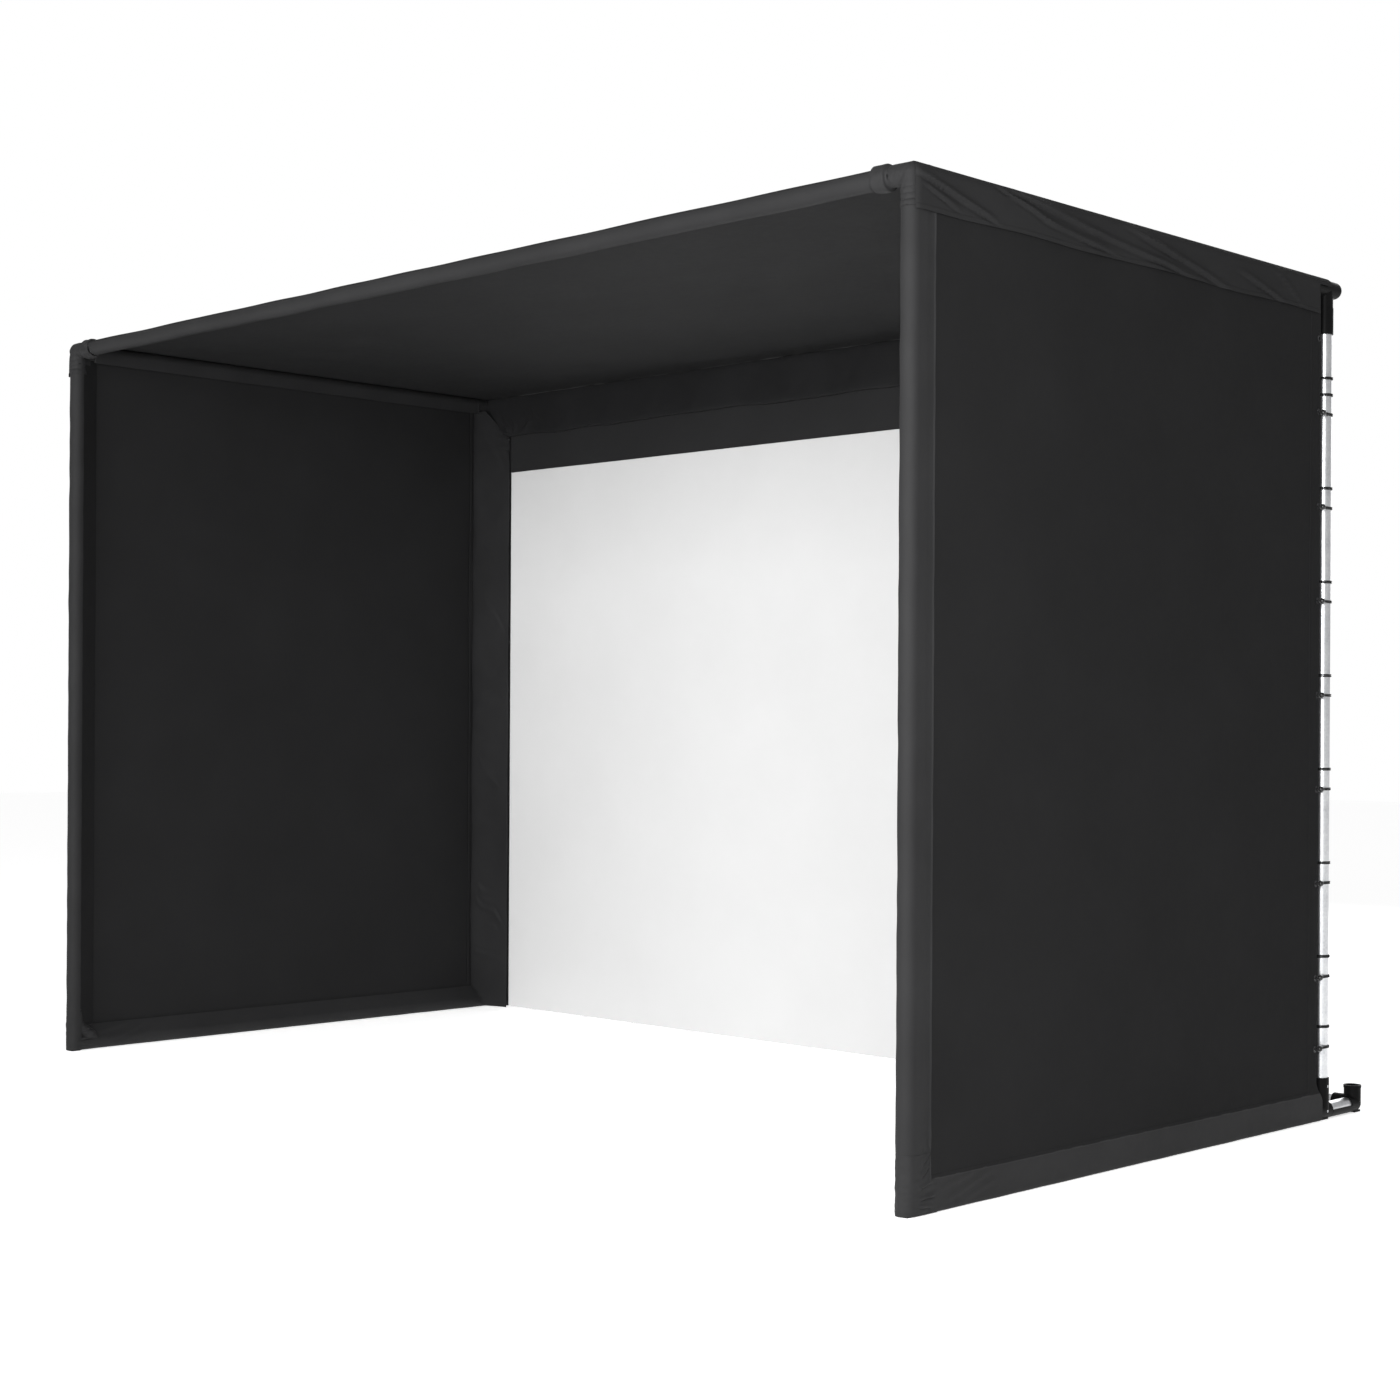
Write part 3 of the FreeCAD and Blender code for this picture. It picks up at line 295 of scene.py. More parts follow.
def belt(first, second, r1, r2, step):
    """The closed line round two circles in a plane, anticlockwise, from the far side of the second."""
    (a1, b1), (a2, b2) = first, second
    span = math.hypot(a2 - a1, b2 - b1)
    heading = math.atan2(b2 - b1, a2 - a1)
    lean = math.asin((r1 - r2) / span)
    points = []
    for (a, b), r, start, end in (
        ((a2, b2), r2, heading - math.pi / 2 + lean, heading + math.pi / 2 - lean),
        ((a1, b1), r1, heading + math.pi / 2 - lean, heading + 3 * math.pi / 2 + lean),
    ):
        turns = max(6, round(abs(end - start) * r / step))
        for angle in np.linspace(start, end, turns + 1):
            points.append((a + r * math.cos(angle), b + r * math.sin(angle)))
    return np.array(points)


# Materials


class Shader:
    """A small builder for node materials."""

    def __init__(self, name):
        self.material = bpy.data.materials.new(name)
        self.material.use_nodes = True
        self.tree = self.material.node_tree
        self.surface = self.tree.nodes["Principled BSDF"]
        self.place = self.add("ShaderNodeTexCoord").outputs["Object"]

    def add(self, kind, **values):
        node = self.tree.nodes.new(kind)
        for key, value in values.items():
            setattr(node, key, value)
        return node

    def feed(self, node, **values):
        """Set a node's inputs, or link them where the value is another node's socket."""
        for key, value in values.items():
            target = node.inputs[key.replace("_", " ")]
            if isinstance(value, bpy.types.NodeSocket):
                self.tree.links.new(value, target)
            else:
                target.default_value = value

    def set(self, **values):
        self.feed(self.surface, **values)

    def noise(self, scale, detail=2.0, roughness=0.5, stretch=None):
        place = self.place
        if stretch:
            mapping = self.add("ShaderNodeMapping")
            self.feed(mapping, Scale=stretch, Vector=place)
            place = mapping.outputs["Vector"]
        node = self.add("ShaderNodeTexNoise")
        self.feed(node, Scale=scale, Detail=detail, Roughness=roughness, Vector=place)
        return node.outputs["Fac"]

    def bands(self, scale, direction, **values):
        node = self.add("ShaderNodeTexWave", wave_type="BANDS", bands_direction=direction)
        self.feed(node, Scale=scale, Vector=self.place, **values)
        return node.outputs["Fac"]

    def math(self, operation, first, second):
        node = self.add("ShaderNodeMath", operation=operation)
        for socket, value in zip(node.inputs, (first, second)):
            if isinstance(value, bpy.types.NodeSocket):
                self.tree.links.new(value, socket)
            else:
                socket.default_value = value
        return node.outputs[0]

    def tone(self, value, colours):
        """Base colour from a value, by (position, colour) stops."""
        node = self.add("ShaderNodeValToRGB")
        ramp = node.color_ramp
        while len(ramp.elements) < len(colours):
            ramp.elements.new(0.5)
        for element, (position, colour) in zip(ramp.elements, colours):
            element.position = position
            element.color = (*colour, 1)
        self.feed(node, Fac=value)
        self.set(Base_Color=node.outputs["Color"])

    def gloss(self, value, sharpest, dullest):
        """Roughness between two limits, from a value."""
        node = self.add("ShaderNodeMapRange")
        self.feed(node, To_Min=sharpest, To_Max=dullest, Value=value)
        self.set(Roughness=node.outputs["Result"])

    def relief(self, height, distance, strength=1.0):
        """A bump, over any that the surface has already."""
        node = self.add("ShaderNodeBump")
        self.feed(node, Distance=distance, Strength=strength, Height=height)
        normal = self.surface.inputs["Normal"]
        if normal.is_linked:
            self.feed(node, Normal=normal.links[0].from_socket)
        self.set(Normal=node.outputs["Normal"])


def shade(colour, factor):
    return tuple(c * factor for c in colour)


def weave(shader, pitch, depth):
    """Warp and weft over every face, whichever way it points."""
    scale = 2 * math.pi / (20 * pitch)
    total = None
    for direction in ("X", "Y", "Z"):
        threads = shader.bands(scale, direction, Distortion=0.4, Detail=1.0)
        total = threads if total is None else shader.math("ADD", total, threads)
    shader.relief(total, depth, 0.6)


def cloth_material(name, colour, roughness, sheen, specular, pitch=1.4 * MM, patch=0.06, relief=0.12 * MM):
    shader = Shader(name)
    tones = [(0.3, shade(colour, 1 - patch)), (0.7, shade(colour, 1 + patch))]
    shader.tone(shader.noise(3.2, 4, 0.55), tones)
    shader.gloss(shader.noise(40, 3), roughness - 0.06, roughness + 0.06)
    shader.set(Sheen_Weight=sheen, Sheen_Roughness=0.5, Specular_IOR_Level=specular)
    weave(shader, pitch, relief)
    shader.relief(shader.noise(55, 3), 0.5 * MM, 0.35)
    return shader.material


def steel_material(name, stretch):
    """Galvanised tube: drawn lines along it, faint spangle and slightly uneven shine."""
    shader = Shader(name)
    cells = shader.add("ShaderNodeTexVoronoi")
    shader.feed(cells, Scale=130, Vector=shader.place)
    tone = shader.math("MULTIPLY", cells.outputs["Distance"], 0.35)
    tone = shader.math("ADD", tone, shader.noise(18, 4, 0.6))
    shader.tone(tone, [(0.25, (0.50, 0.51, 0.53)), (0.55, (0.66, 0.67, 0.69)), (0.9, (0.78, 0.79, 0.80))])
    lines = shader.noise(420, 3, 0.6, stretch)
    shader.gloss(lines, 0.24, 0.42)
    shader.set(Metallic=1.0)
    shader.relief(lines, 0.06 * MM, 0.5)
    return shader.material


def grainy_material(name, dark, light, grain, gloss=None, bumps=(), **surface):
    """A hard finish whose tone, gloss and relief vary by fine noise.

    grain is the tone noise's scale and detail, gloss is a noise's scale and detail with two limits of
    roughness, and each bump is a noise's scale, its depth in millimetres and its strength.
    """
    shader = Shader(name)
    shader.tone(shader.noise(*grain), [(0.3, dark), (0.7, light)])
    if gloss:
        scale, detail, sharpest, dullest = gloss
        shader.gloss(shader.noise(scale, detail), sharpest, dullest)
    shader.set(**surface)
    for scale, depth, strength in bumps:
        shader.relief(shader.noise(scale, 2), depth * MM, strength)
    return shader.material


def cord_material():
    """Braided elastic: fine slanting threads."""
    shader = Shader("cord_black")
    shader.tone(shader.noise(700, 2), [(0.35, (0.004, 0.004, 0.004)), (0.65, (0.012, 0.012, 0.013))])
    shader.set(Roughness=0.65, Specular_IOR_Level=0.2)
    shader.relief(shader.bands(300, "DIAGONAL"), 0.25 * MM, 0.7)
    return shader.material


COVER = cloth_material("cover_black", (0.0130, 0.0130, 0.0133), 0.70, 0.0, 0.03)
# The roof is the walls' black cloth with a lighter base colour: painted light for the glow the ceiling
# catches from the bright floor.
ROOF_CLOTH_PAINTED_LIGHTER = cloth_material("roof_black_painted_light", (0.0175, 0.0175, 0.0179), 0.70, 0.0, 0.05)
TRIM = cloth_material("trim_black", (0.0165, 0.0165, 0.017), 0.60, 0.01, 0.09, patch=0.12)
PAD = cloth_material("pad_black", (0.0115, 0.0115, 0.012), 0.55, 0.01, 0.10, patch=0.15)
BAND = cloth_material("band_black", (0.0145, 0.0145, 0.015), 0.60, 0.02, 0.14)
WEBBING = cloth_material("webbing_black", (0.012, 0.012, 0.0125), 0.6, 0.02, 0.2, 2.2 * MM, relief=0.3 * MM)
WHITE = cloth_material("screen_white", (0.56, 0.56, 0.56), 0.75, 0.1, 0.2, pitch=1.1 * MM, patch=0.015)
STEEL = {
    "X": steel_material("steel_x", (0.02, 1, 1)),
    "Y": steel_material("steel_y", (1, 0.02, 1)),
    "Z": steel_material("steel_z", (1, 1, 0.02)),
}
FITTING = grainy_material("fitting_black", (0.004, 0.004, 0.004), (0.007, 0.007, 0.0075), (9, 3),
                          gloss=(60, 3, 0.34, 0.48), bumps=((900, 0.08, 0.5), (70, 0.25, 0.4)),
                          Specular_IOR_Level=0.05)
ZINC = grainy_material("zinc", (0.45, 0.46, 0.48), (0.72, 0.72, 0.74), (220, 3),
                       gloss=(600, 2, 0.22, 0.42), bumps=((800, 0.05, 0.4),), Metallic=1.0)
BALL = grainy_material("ball_black", (0.008, 0.008, 0.008), (0.014, 0.014, 0.015), (150, 2),
                       gloss=(300, 2, 0.10, 0.22), bumps=((500, 0.03, 0.4),))
GROMMET = grainy_material("grommet_black", (0.012, 0.012, 0.013), (0.03, 0.03, 0.032), (260, 2),
                          bumps=((900, 0.03, 0.4),), Metallic=0.7, Roughness=0.3)
CORD = cord_material()


def declare(thing, material, nodes=(), body=None):
    """Dress a piece, and say which CAD nodes it replaces and which body it rides on."""
    thing.data.materials.clear()
    thing.data.materials.append(material)
    if nodes:
        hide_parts(*nodes)
    if body:
        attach(thing, body)


def trim(thing, is_trim):
    """Give the faces that is_trim picks by their middles the trim cloth's material."""
    thing.data.materials.append(TRIM)
    for face in thing.data.polygons:
        if is_trim(face.center):
            face.material_index = 1


# Camera, light and floor

CAMERA_HEADING = math.radians(44.44)
CAMERA_ROLL = math.radians(0.33)
CAMERA_PLACE = (5.492, -5.439, 1.198)
LENS = 58.36
SENSOR = 36
RISE_SHIFT = 0.0192

# Each light: name, place, what it faces, side length and power.
LIGHTS = (
    ("key", (1.2, -8.0, 2.6), (-0.4, 0.8, 1.3), 5.0, 600),
    ("fill", (4.2, -4.0, 2.2), (2.0, -0.9, 1.3), 1.6, 190),
    ("rear", (-0.5, 7.5, 4.0), (0, 0.9, 1.3), 4.0, 150),
)
SURROUND_LIGHT = 0.45
FLOOR_SIZE = 60


def camera():
    """The viewpoint: in front, to the right, at chest height, looking level."""
    right = Vector((math.cos(CAMERA_HEADING), math.sin(CAMERA_HEADING), 0))
    ahead = Vector((-math.sin(CAMERA_HEADING), math.cos(CAMERA_HEADING), 0))
    up = Vector((0, 0, 1))
    level = right * math.cos(CAMERA_ROLL) + up * math.sin(CAMERA_ROLL)
    upright = up * math.cos(CAMERA_ROLL) - right * math.sin(CAMERA_ROLL)
    data = bpy.data.cameras.new("camera")
    data.sensor_width = SENSOR
    data.lens = LENS
    data.shift_y = RISE_SHIFT
    thing = place_object("camera", data)
    turn = Matrix((level, upright, -ahead)).transposed().to_4x4()
    thing.matrix_world = Matrix.Translation(CAMERA_PLACE) @ turn
    bpy.context.scene.camera = thing


def area_light(name, place, aim, width, power):
    data = bpy.data.lights.new(name, "AREA")
    data.shape = "SQUARE"
    data.size = width
    data.energy = power
    thing = place_object(name, data)
    thing.location = place
    thing.rotation_euler = (Vector(aim) - Vector(place)).to_track_quat("-Z", "Y").to_euler()


def studio():
    """White surroundings that light the scene less than they show, three soft lights and the floor."""
    world = bpy.data.worlds.new("studio")
    world.use_nodes = True
    tree = world.node_tree
    background = tree.nodes["Background"]
    background.inputs["Color"].default_value = (1, 1, 1, 1)
    seen = tree.nodes.new("ShaderNodeLightPath").outputs["Is Camera Ray"]
    glow = tree.nodes.new("ShaderNodeMapRange")
    glow.inputs["To Min"].default_value = SURROUND_LIGHT
    glow.inputs["To Max"].default_value = 1.0
    tree.links.new(seen, glow.inputs["Value"])
    tree.links.new(glow.outputs["Result"], background.inputs["Strength"])
    bpy.context.scene.world = world
    bpy.context.scene.view_settings.view_transform = "Standard"
    for light in LIGHTS:
        area_light(*light)
    bpy.ops.mesh.primitive_plane_add(size=FLOOR_SIZE, location=(0, 0, 0))
    floor = bpy.context.object
    floor.name = "floor"
    shader = Shader("floor_pale")
    shader.set(Base_Color=(0.96, 0.96, 0.96, 1), Roughness=0.8)
    shader.set(Emission_Color=(1, 1, 1, 1), Emission_Strength=0.54)
    floor.data.materials.append(shader.material)


# Side walls

FRONT_SEAM_Y = FRONT_Y + 58 * MM
POCKET_Y = FRONT_Y + 92 * MM
SEAM_ALLOWANCE = 2 * MM
FLOOR_SEAM_Z = 88 * MM
FLOOR_SLEEVE_R = FLOOR_Z - CLOTH
EDGE_R = 6 * MM
EDGE_Z = 8 * MM
TEE_Y = low("rear_right_foot_tee").y
PAD_FACE_Y = low("right_pad_cover").y
HEM_Y = WALL_REAR_Y - 54 * MM
INNER_FLAP_Z = TOP_Z - 39 * MM
TUCK = 12 * MM
WRAP_STEP = 6 * MM
SEAM_STEP = 1.5 * MM
PANEL_STEP = 16 * MM


def sleeve_line(r, seam, allowance, step, edge=None):
    """A pocket's outline, from its inner seam round the tube, and round an outer edge if it has one.

    The tube is at the origin, the first value points out and the second towards the seam.
    """
    inner = (r - allowance, seam)
    reach = math.hypot(*inner)
    start = math.atan2(inner[1], inner[0]) + math.acos(r / reach)
    touch = (r * math.cos(start), r * math.sin(start))
    count = max(4, round(math.hypot(inner[0] - touch[0], inner[1] - touch[1]) / step))
    line = [np.array(inner) + (np.array(touch) - inner) * k / count for k in range(count)]
    arcs = [((0, 0), r, start, 2 * math.pi)]
    if edge:
        a, b, small = edge
        leave = math.atan2(b, a) + math.asin((r - small) / math.hypot(a, b)) - math.pi / 2 + 2 * math.pi
        arcs = [((0, 0), r, start, leave), ((a, b), small, leave, 2 * math.pi)]
    for (a, b), radius, first, last in arcs:
        turns = max(4, round((last - first) * radius / (step * 0.7)))
        for angle in np.linspace(first, last, turns + 1):
            line.append(np.array((a + radius * math.cos(angle), b + radius * math.sin(angle))))
    return np.array(line)


def wall_plan():
    """The wall from above as (out, y): round the post and back to the rear hem; and the pocket's count."""
    wrap = sleeve_line(WALL_R, POCKET_Y - FRONT_Y, SEAM_ALLOWANCE, WRAP_STEP)
    back = stops(
        FRONT_Y,
        (FRONT_SEAM_Y - 10 * MM, WRAP_STEP),
        (FRONT_SEAM_Y + 20 * MM, SEAM_STEP),
        (HEM_Y - 6 * MM, PANEL_STEP),
        (HEM_Y + 6 * MM, SEAM_STEP),
        (WALL_REAR_Y, 4 * MM),
    )[1:]
    return np.array([(a, FRONT_Y + b) for a, b in wrap] + [(WALL_R, y) for y in back]), len(wrap)


def wall_section():
    """The wall from the front as (out, z): round the floor rail, up, over the top rail and down inside.

    Also where the climb, the fold over the rail and the drop inside begin.
    """
    edge = (WALL_R - EDGE_R, EDGE_Z - FLOOR_Z, EDGE_R)
    wrap = sleeve_line(FLOOR_SLEEVE_R, FLOOR_SEAM_Z - FLOOR_Z, SEAM_ALLOWANCE, WRAP_STEP, edge)
    climb = stops(
        EDGE_Z,
        (FLOOR_SEAM_Z - 8 * MM, 8 * MM),
        (FLOOR_SEAM_Z + 14 * MM, SEAM_STEP),
        (CORNER_LOW_Z - TUCK, PANEL_STEP),
        (TOP_Z, 8 * MM),
    )[1:]
    fold = [(WALL_R * math.cos(t), TOP_Z + WALL_R * math.sin(t)) for t in np.linspace(0, math.pi, 16)[1:]]
    drop = [(-WALL_R, z) for z in np.linspace(TOP_Z, INNER_FLAP_Z, 6)[1:]]
    section = [(a, FLOOR_Z + b) for a, b in wrap] + [(WALL_R, z) for z in climb] + fold + drop
    return np.array(section), len(wrap), len(wrap) + len(climb), len(section) - len(drop)


def wall_keep(y, z, front_wrap, low_wrap, high_wrap, inside):
    """Which cells are cloth: not those under a cover, wrapped both ways, or behind a pad."""
    beside_seam = (z > FLOOR_SEAM_Z - 4 * MM) & (z < TOP_Z)
    forward = y < np.where(beside_seam, FRONT_SEAM_Y - 6 * MM, COVER_REAR_Y - TUCK)
    forward &= ~(front_wrap[:, None] & (y > FRONT_Y + 10 * MM) & beside_seam)
    under_cover = (z < FOOT_TOP_Z - TUCK) | (z > CORNER_LOW_Z + TUCK)
    wrapped = front_wrap[:, None] & (low_wrap | high_wrap)[None, :]
    behind_pad = inside[None, :] & (y > PAD_FACE_Y - 4 * MM) & (z < TOP_Z - 26 * MM)
    return whole_cells(~((forward & under_cover) | wrapped | behind_pad))


def wall(side, word):
    """One sheet: round the front post, along to the rear hem, round the floor rail and over the top rail."""
    plan, pocket = wall_plan()
    section, climb, fold, drop = wall_section()
    nu, nv = len(plan), len(section)
    rank = np.arange(nv)
    front_wrap, low_wrap, high_wrap = np.arange(nu) < pocket, rank < climb, rank >= fold
    out = np.where(front_wrap[:, None], plan[:, :1], section[None, :, 0])
    y = np.repeat(plan[:, 1:2], nv, 1)
    z = np.repeat(section[None, :, 1], nu, 0)
    to_tee = (TEE_Y - 1 * MM - WALL_REAR_Y) * (1 - ease(z, 60 * MM, 120 * MM))
    y = y + to_tee * ease(y, WALL_REAR_Y - 0.12, WALL_REAR_Y)
    points = np.stack([side * (POST_X + out), y, z], 2)
    keep = wall_keep(y, z, front_wrap, low_wrap, high_wrap, rank >= drop)
    around, up = running(plan, nv, 0), running(section, nu, 1)
    normals = grid_normals(points)
    outward = np.sign((normals[-1, nv // 2] @ np.array([side, 0, 0])))
    relief = wall_relief(side, y, z, around, up, front_wrap, low_wrap)
    points = points + normals * (outward * relief)[:, :, None]
    points[:, :, 2] = np.maximum(points[:, :, 2], CLOTH)
    sheet = grid_object(f"{word}_wall", points, keep)
    thicken(sheet)
    punch(sheet, f"{word}_wall_grommets", (1, 0, 0))
    declare(sheet, COVER, [f"{word}_wall_cover"], "frame")

    def pockets(p):
        on_post = p.y < FRONT_Y + 12 * MM or (p.y < FRONT_SEAM_Y and side * p.x > POST_X + WALL_R - 6 * MM)
        on_rail = p.z > TOP_Z or (p.z > INNER_FLAP_Z - 5 * MM and side * p.x < POST_X)
        return on_post or on_rail or p.z < FLOOR_SEAM_Z

    trim(sheet, pockets)


def puckers(along, pitch, depth):
    """Even puckers that stitches draw along a seam."""
    return depth * np.sin(along * 2 * math.pi / pitch)


def wall_relief(side, y, z, around, up, front_wrap, low_wrap):
    """How far a wall's cloth stands out from its plain shape."""
    here = np.stack([around, up], 2)
    tube = ease(y, FRONT_SEAM_Y - 20 * MM, FRONT_SEAM_Y - 45 * MM) * np.ones_like(z)
    panel = ease(y, FRONT_SEAM_Y, FRONT_SEAM_Y + 0.15) * ease(z, FLOOR_SEAM_Z, FLOOR_SEAM_Z + 0.15)
    panel *= 1 - ease(z, TOP_Z - 0.24, TOP_Z - 0.11)
    height = panel * (2.2 * MM * ripples(here, 0.75, 3 + side) + 0.4 * MM * ripples(here, 0.22, 7 + side))
    height += (1 - panel) * 0.35 * MM * ripples(here, 0.12, 11 + side)
    height += tube * 0.5 * MM * ripples(here, 0.07, 13 + side, stretch=(1, 0.5))
    outside = ~front_wrap[:, None]
    height -= 1.6 * MM * bump(y, FRONT_SEAM_Y - 16 * MM, 11 * MM) * outside
    height += bump(y, FRONT_SEAM_Y, 2.2 * MM) * outside * (2.65 * MM + puckers(up, 17 * MM, 0.25 * MM))
    sewn = strip(z, FLOOR_SEAM_Z - 2 * MM, FLOOR_SEAM_Z + 9 * MM) * ~low_wrap[None, :]
    height += sewn * (1.15 * MM + puckers(around, 19 * MM, 0.25 * MM))
    height += strip(y, HEM_Y - 3 * MM, HEM_Y + 3 * MM) * (1.3 * MM + puckers(up, 23 * MM, 0.3 * MM))
    height += creases(y - FRONT_Y, z, FOOT_FOLDS) * outside
    near_hem = ease(y, HEM_Y + 8 * MM, HEM_Y + 20 * MM)
    return height * (1 - 0.85 * near_hem)


# Folds round the feet, in millimetres: ends as offsets behind the post axis and heights, rise and width.
FOOT_FOLDS = (
    (24, 168, 60, 196, 3.2, 5),
    (24, 206, 54, 224, 1.8, 5),
    (26, 126, 58, 158, 3.4, 5),
    (24, 98, 54, 124, 3.2, 5),
    (22, 72, 62, 82, 2.6, 5),
    (18, 44, 74, 47, 3.2, 5),
    (16, 26, 66, 20, 2.6, 5),
    (130, 24, 300, 74, 3, 7),
    (110, 58, 230, 80, 2.2, 7),
    (210, 20, 330, 50, 1.6, 8),
)


# Roof

FLAP_END_Y = REAR_Y - 70 * MM
ROOF_SLEEVE_R = 26 * MM
ROOF_SEAM = 70 * MM
ROOF_SEAM_Y = FRONT_Y + ROOF_SEAM
FLAP_OUT = 3.2 * MM
FLAP_VALLEY = 1.8 * MM
TAB = math.radians(42)
TAB_STEPS = 7
ROOF_STEP = 20 * MM


def roof_section():
    """The roof from the side as (y, z): round the bar and back to the rear hem; and the pocket's count."""
    wrap = sleeve_line(ROOF_SLEEVE_R, ROOF_SEAM, SEAM_ALLOWANCE, 5 * MM)
    back = stops(
        FRONT_Y,
        (ROOF_SEAM_Y - 8 * MM, WRAP_STEP),
        (ROOF_SEAM_Y + 16 * MM, 2 * MM),
        (FRONT_Y + 0.5, 9 * MM),
        (ROOF_REAR_Y - 30 * MM, ROOF_STEP),
        (ROOF_REAR_Y, 5 * MM),
    )[1:]
    crown_z = TOP_Z + ROOF_SLEEVE_R
    climb = crown_z + (ROOF_Z - crown_z) * ease(back, FRONT_Y, ROOF_SEAM_Y)
    return np.array([(FRONT_Y + b, TOP_Z + a) for a, b in wrap] + list(zip(back, climb))), len(wrap)


def roof_across():
    """The roof from the front as (x, z): up one flap, across, and down the other."""
    edge_x = ROOF_X + FLAP_OUT
    edge_r = edge_x - POST_X
    hang = stops(FLAP_Z, (FLAP_Z + 20 * MM, 2 * MM), (TOP_Z, 4 * MM))
    bend = [
        (-POST_X - edge_r * math.cos(t), TOP_Z + (ROOF_Z - TOP_Z) * math.sin(t))
        for t in np.linspace(0, math.pi / 2, 12)[1:]
    ]
    inward = stops(
        POST_X,
        (CUFF_X + 20 * MM, 9 * MM),
        (CUFF_X - 20 * MM, 5 * MM),
        (CUFF_X - 0.4, 9 * MM),
        (0, ROOF_STEP),
    )[1:]
    half = [(-edge_x, z) for z in hang] + bend + [(-x, ROOF_Z) for x in inward]
    return np.array(half + [(-x, z) for x, z in reversed(half[:-1])])


def roof():
    """One sheet: round the front bar, back over the rails, and down both sides as flaps."""
    section, pocket = roof_section()
    across = roof_across()
    nu, nv = len(across), len(section)
    flap = np.abs(across[:, 0]) > POST_X - 1e-6
    x = np.repeat(across[:, :1], nv, 1)
    y = np.repeat(section[None, :, 0], nu, 0)
    corner = ease(np.abs(x), CUFF_X - 10 * MM, CUFF_X + 25 * MM)
    centre_z = np.repeat(section[None, :, 1], nu, 0)
    top_z = centre_z + (ROOF_Z - centre_z) * corner
    z = np.where(flap[:, None], across[:, 1:2], top_z)
    place = np.arange(nv) - pocket
    in_wrap = place < 0
    turn = np.where(in_wrap, (place + 1) * TAB / TAB_STEPS, 0)[None, :]
    tab = flap[:, None] & in_wrap[None, :]
    hang = np.abs(x) - POST_X
    x = np.where(tab, np.sign(x) * (POST_X + hang * np.cos(turn)), x)
    y = np.where(tab, FRONT_Y + hang * np.sin(turn), y)
    points = np.stack([x, y, z], 2)
    keep = ~(in_wrap[None, :] & (np.abs(x) > CUFF_X + TUCK)) | (tab & (place >= -TAB_STEPS)[None, :])
    keep = whole_cells(keep & ~(flap[:, None] & (y > FLAP_END_Y) & (z < TOP_Z)))
    around, back = running(across, nv, 0), running(section, nu, 1)
    normals = grid_normals(points)
    normals[:, -1] = normals[:, -2]
    upward = np.sign(normals[nu // 2, -10, 2])
    relief = roof_relief(x, y, z, around, back, flap, in_wrap & ~flap[:, None])
    points = points + normals * (upward * relief)[:, :, None]
    hem_wave = 2 * MM * ripples(np.stack([x, y], 2), 0.5, 27, stretch=(0, 1)) * (z < TOP_Z)
    points[:, :, 2] += hem_wave * (TOP_Z - z) / (TOP_Z - FLAP_Z)
    sheet = grid_object("roof", points, keep)
    thicken(sheet)
    punch(sheet, "roof_grommets", (0, 0, 1))
    # The whole roof, ceiling and flaps, wears the cloth that is painted lighter to stand for the ceiling's
    # light.
    declare(sheet, ROOF_CLOTH_PAINTED_LIGHTER, ["roof_cover"], "frame")
    trim(sheet, lambda p: p.z < ROOF_Z - 12 * MM and p.y < ROOF_SEAM_Y and abs(p.x) < POST_X)


def roof_relief(x, y, z, around, back, flap, in_wrap):
    """How far the roof's cloth stands out from its plain shape."""
    here = np.stack([around, back], 2)
    flap_here = flap[:, None] * np.ones_like(y)
    above = 1 - flap_here
    span = np.clip(np.abs(x) / (POST_X - 60 * MM), 0, 1)
    inside = (1 - ease(span, 0.82, 1.0)) * ease(y, ROOF_SEAM_Y + 10 * MM, ROOF_SEAM_Y + 0.35)
    inside *= 1 - ease(y, ROOF_REAR_Y - 0.28, ROOF_REAR_Y - 0.05)
    height = -inside * 16 * MM * (1 - span**2)
    height += inside * (3.5 * MM * ripples(here, 0.8, 21) + 1.2 * MM * ripples(here, 0.25, 22))
    gather = bump(y, ROOF_SEAM_Y + 25 * MM, 45 * MM) * ~in_wrap * above
    height += gather * 1.6 * MM * ripples(here, 0.09, 23, stretch=(1.0, 0.35))
    height += in_wrap * above * 0.9 * MM * ripples(here, 0.16, 24, stretch=(0.6, 1.4))
    seam = strip(y, ROOF_SEAM_Y - 3 * MM, ROOF_SEAM_Y + 9 * MM) * ~in_wrap
    height += seam * above * (1.3 * MM + puckers(around, 21 * MM, 0.3 * MM))
    hem = strip(z, FLAP_Z - 5 * MM, FLAP_Z + 12 * MM)
    height += flap_here * hem * (1.3 * MM + puckers(back, 25 * MM, 0.3 * MM))
    hanging = flap_here * (1 - ease(z, TOP_Z + 12 * MM, ROOF_Z))
    height += hanging * (1.0 * MM * ripples(here, 0.2, 25) + 0.4 * MM * ripples(here, 0.06, 26))
    height += hanging * creases(y - FRONT_Y, z - TOP_Z, FLAP_FOLDS)
    height = np.where(flap_here * (z < TOP_Z) > 0, np.maximum(height, -FLAP_VALLEY), height)
    near_hem = ease(y, ROOF_REAR_Y - 30 * MM, ROOF_REAR_Y - 20 * MM) * above
    return height * (1 - 0.85 * near_hem)


# Folds that fan down the side flaps, in millimetres: ends as offsets behind the post axis and above the rail
# axis, then rise and width.
FLAP_FOLDS = (
    (0, -4, 290, -72, 8.8, 9),
    (20, -30, 150, -70, 4, 7),
    (300, 20, 560, -48, 6.08, 8),
    (500, -36, 820, -74, 4.8, 8),
    (340, 22, 760, -34, 7.2, 10),
    (700, -28, 1180, -80, 7.2, 9),
    (980, -10, 1400, -86, 8, 10),
    (880, 10, 1080, -24, 3.84, 9),
    (1480, -28, 1710, -86, 6.4, 9),
    (1670, 6, 1830, -90, 6.4, 9),
)


# Corner covers

COVER_R = WALL_R + 0.8 * MM
PANEL_INNER = POST_X + WALL_R - 8 * MM
# How far a sleeve runs on past its end, before it is cut open there.
SPARE = 6 * MM
VOXEL = 2.4 * MM
SMOOTHINGS = 3
HOLE_R = 7 * MM
HOLE_REACH = 9 * MM
# A grommet this near to a cloth's box is in that cloth.
HOLE_NEAR = 5 * MM


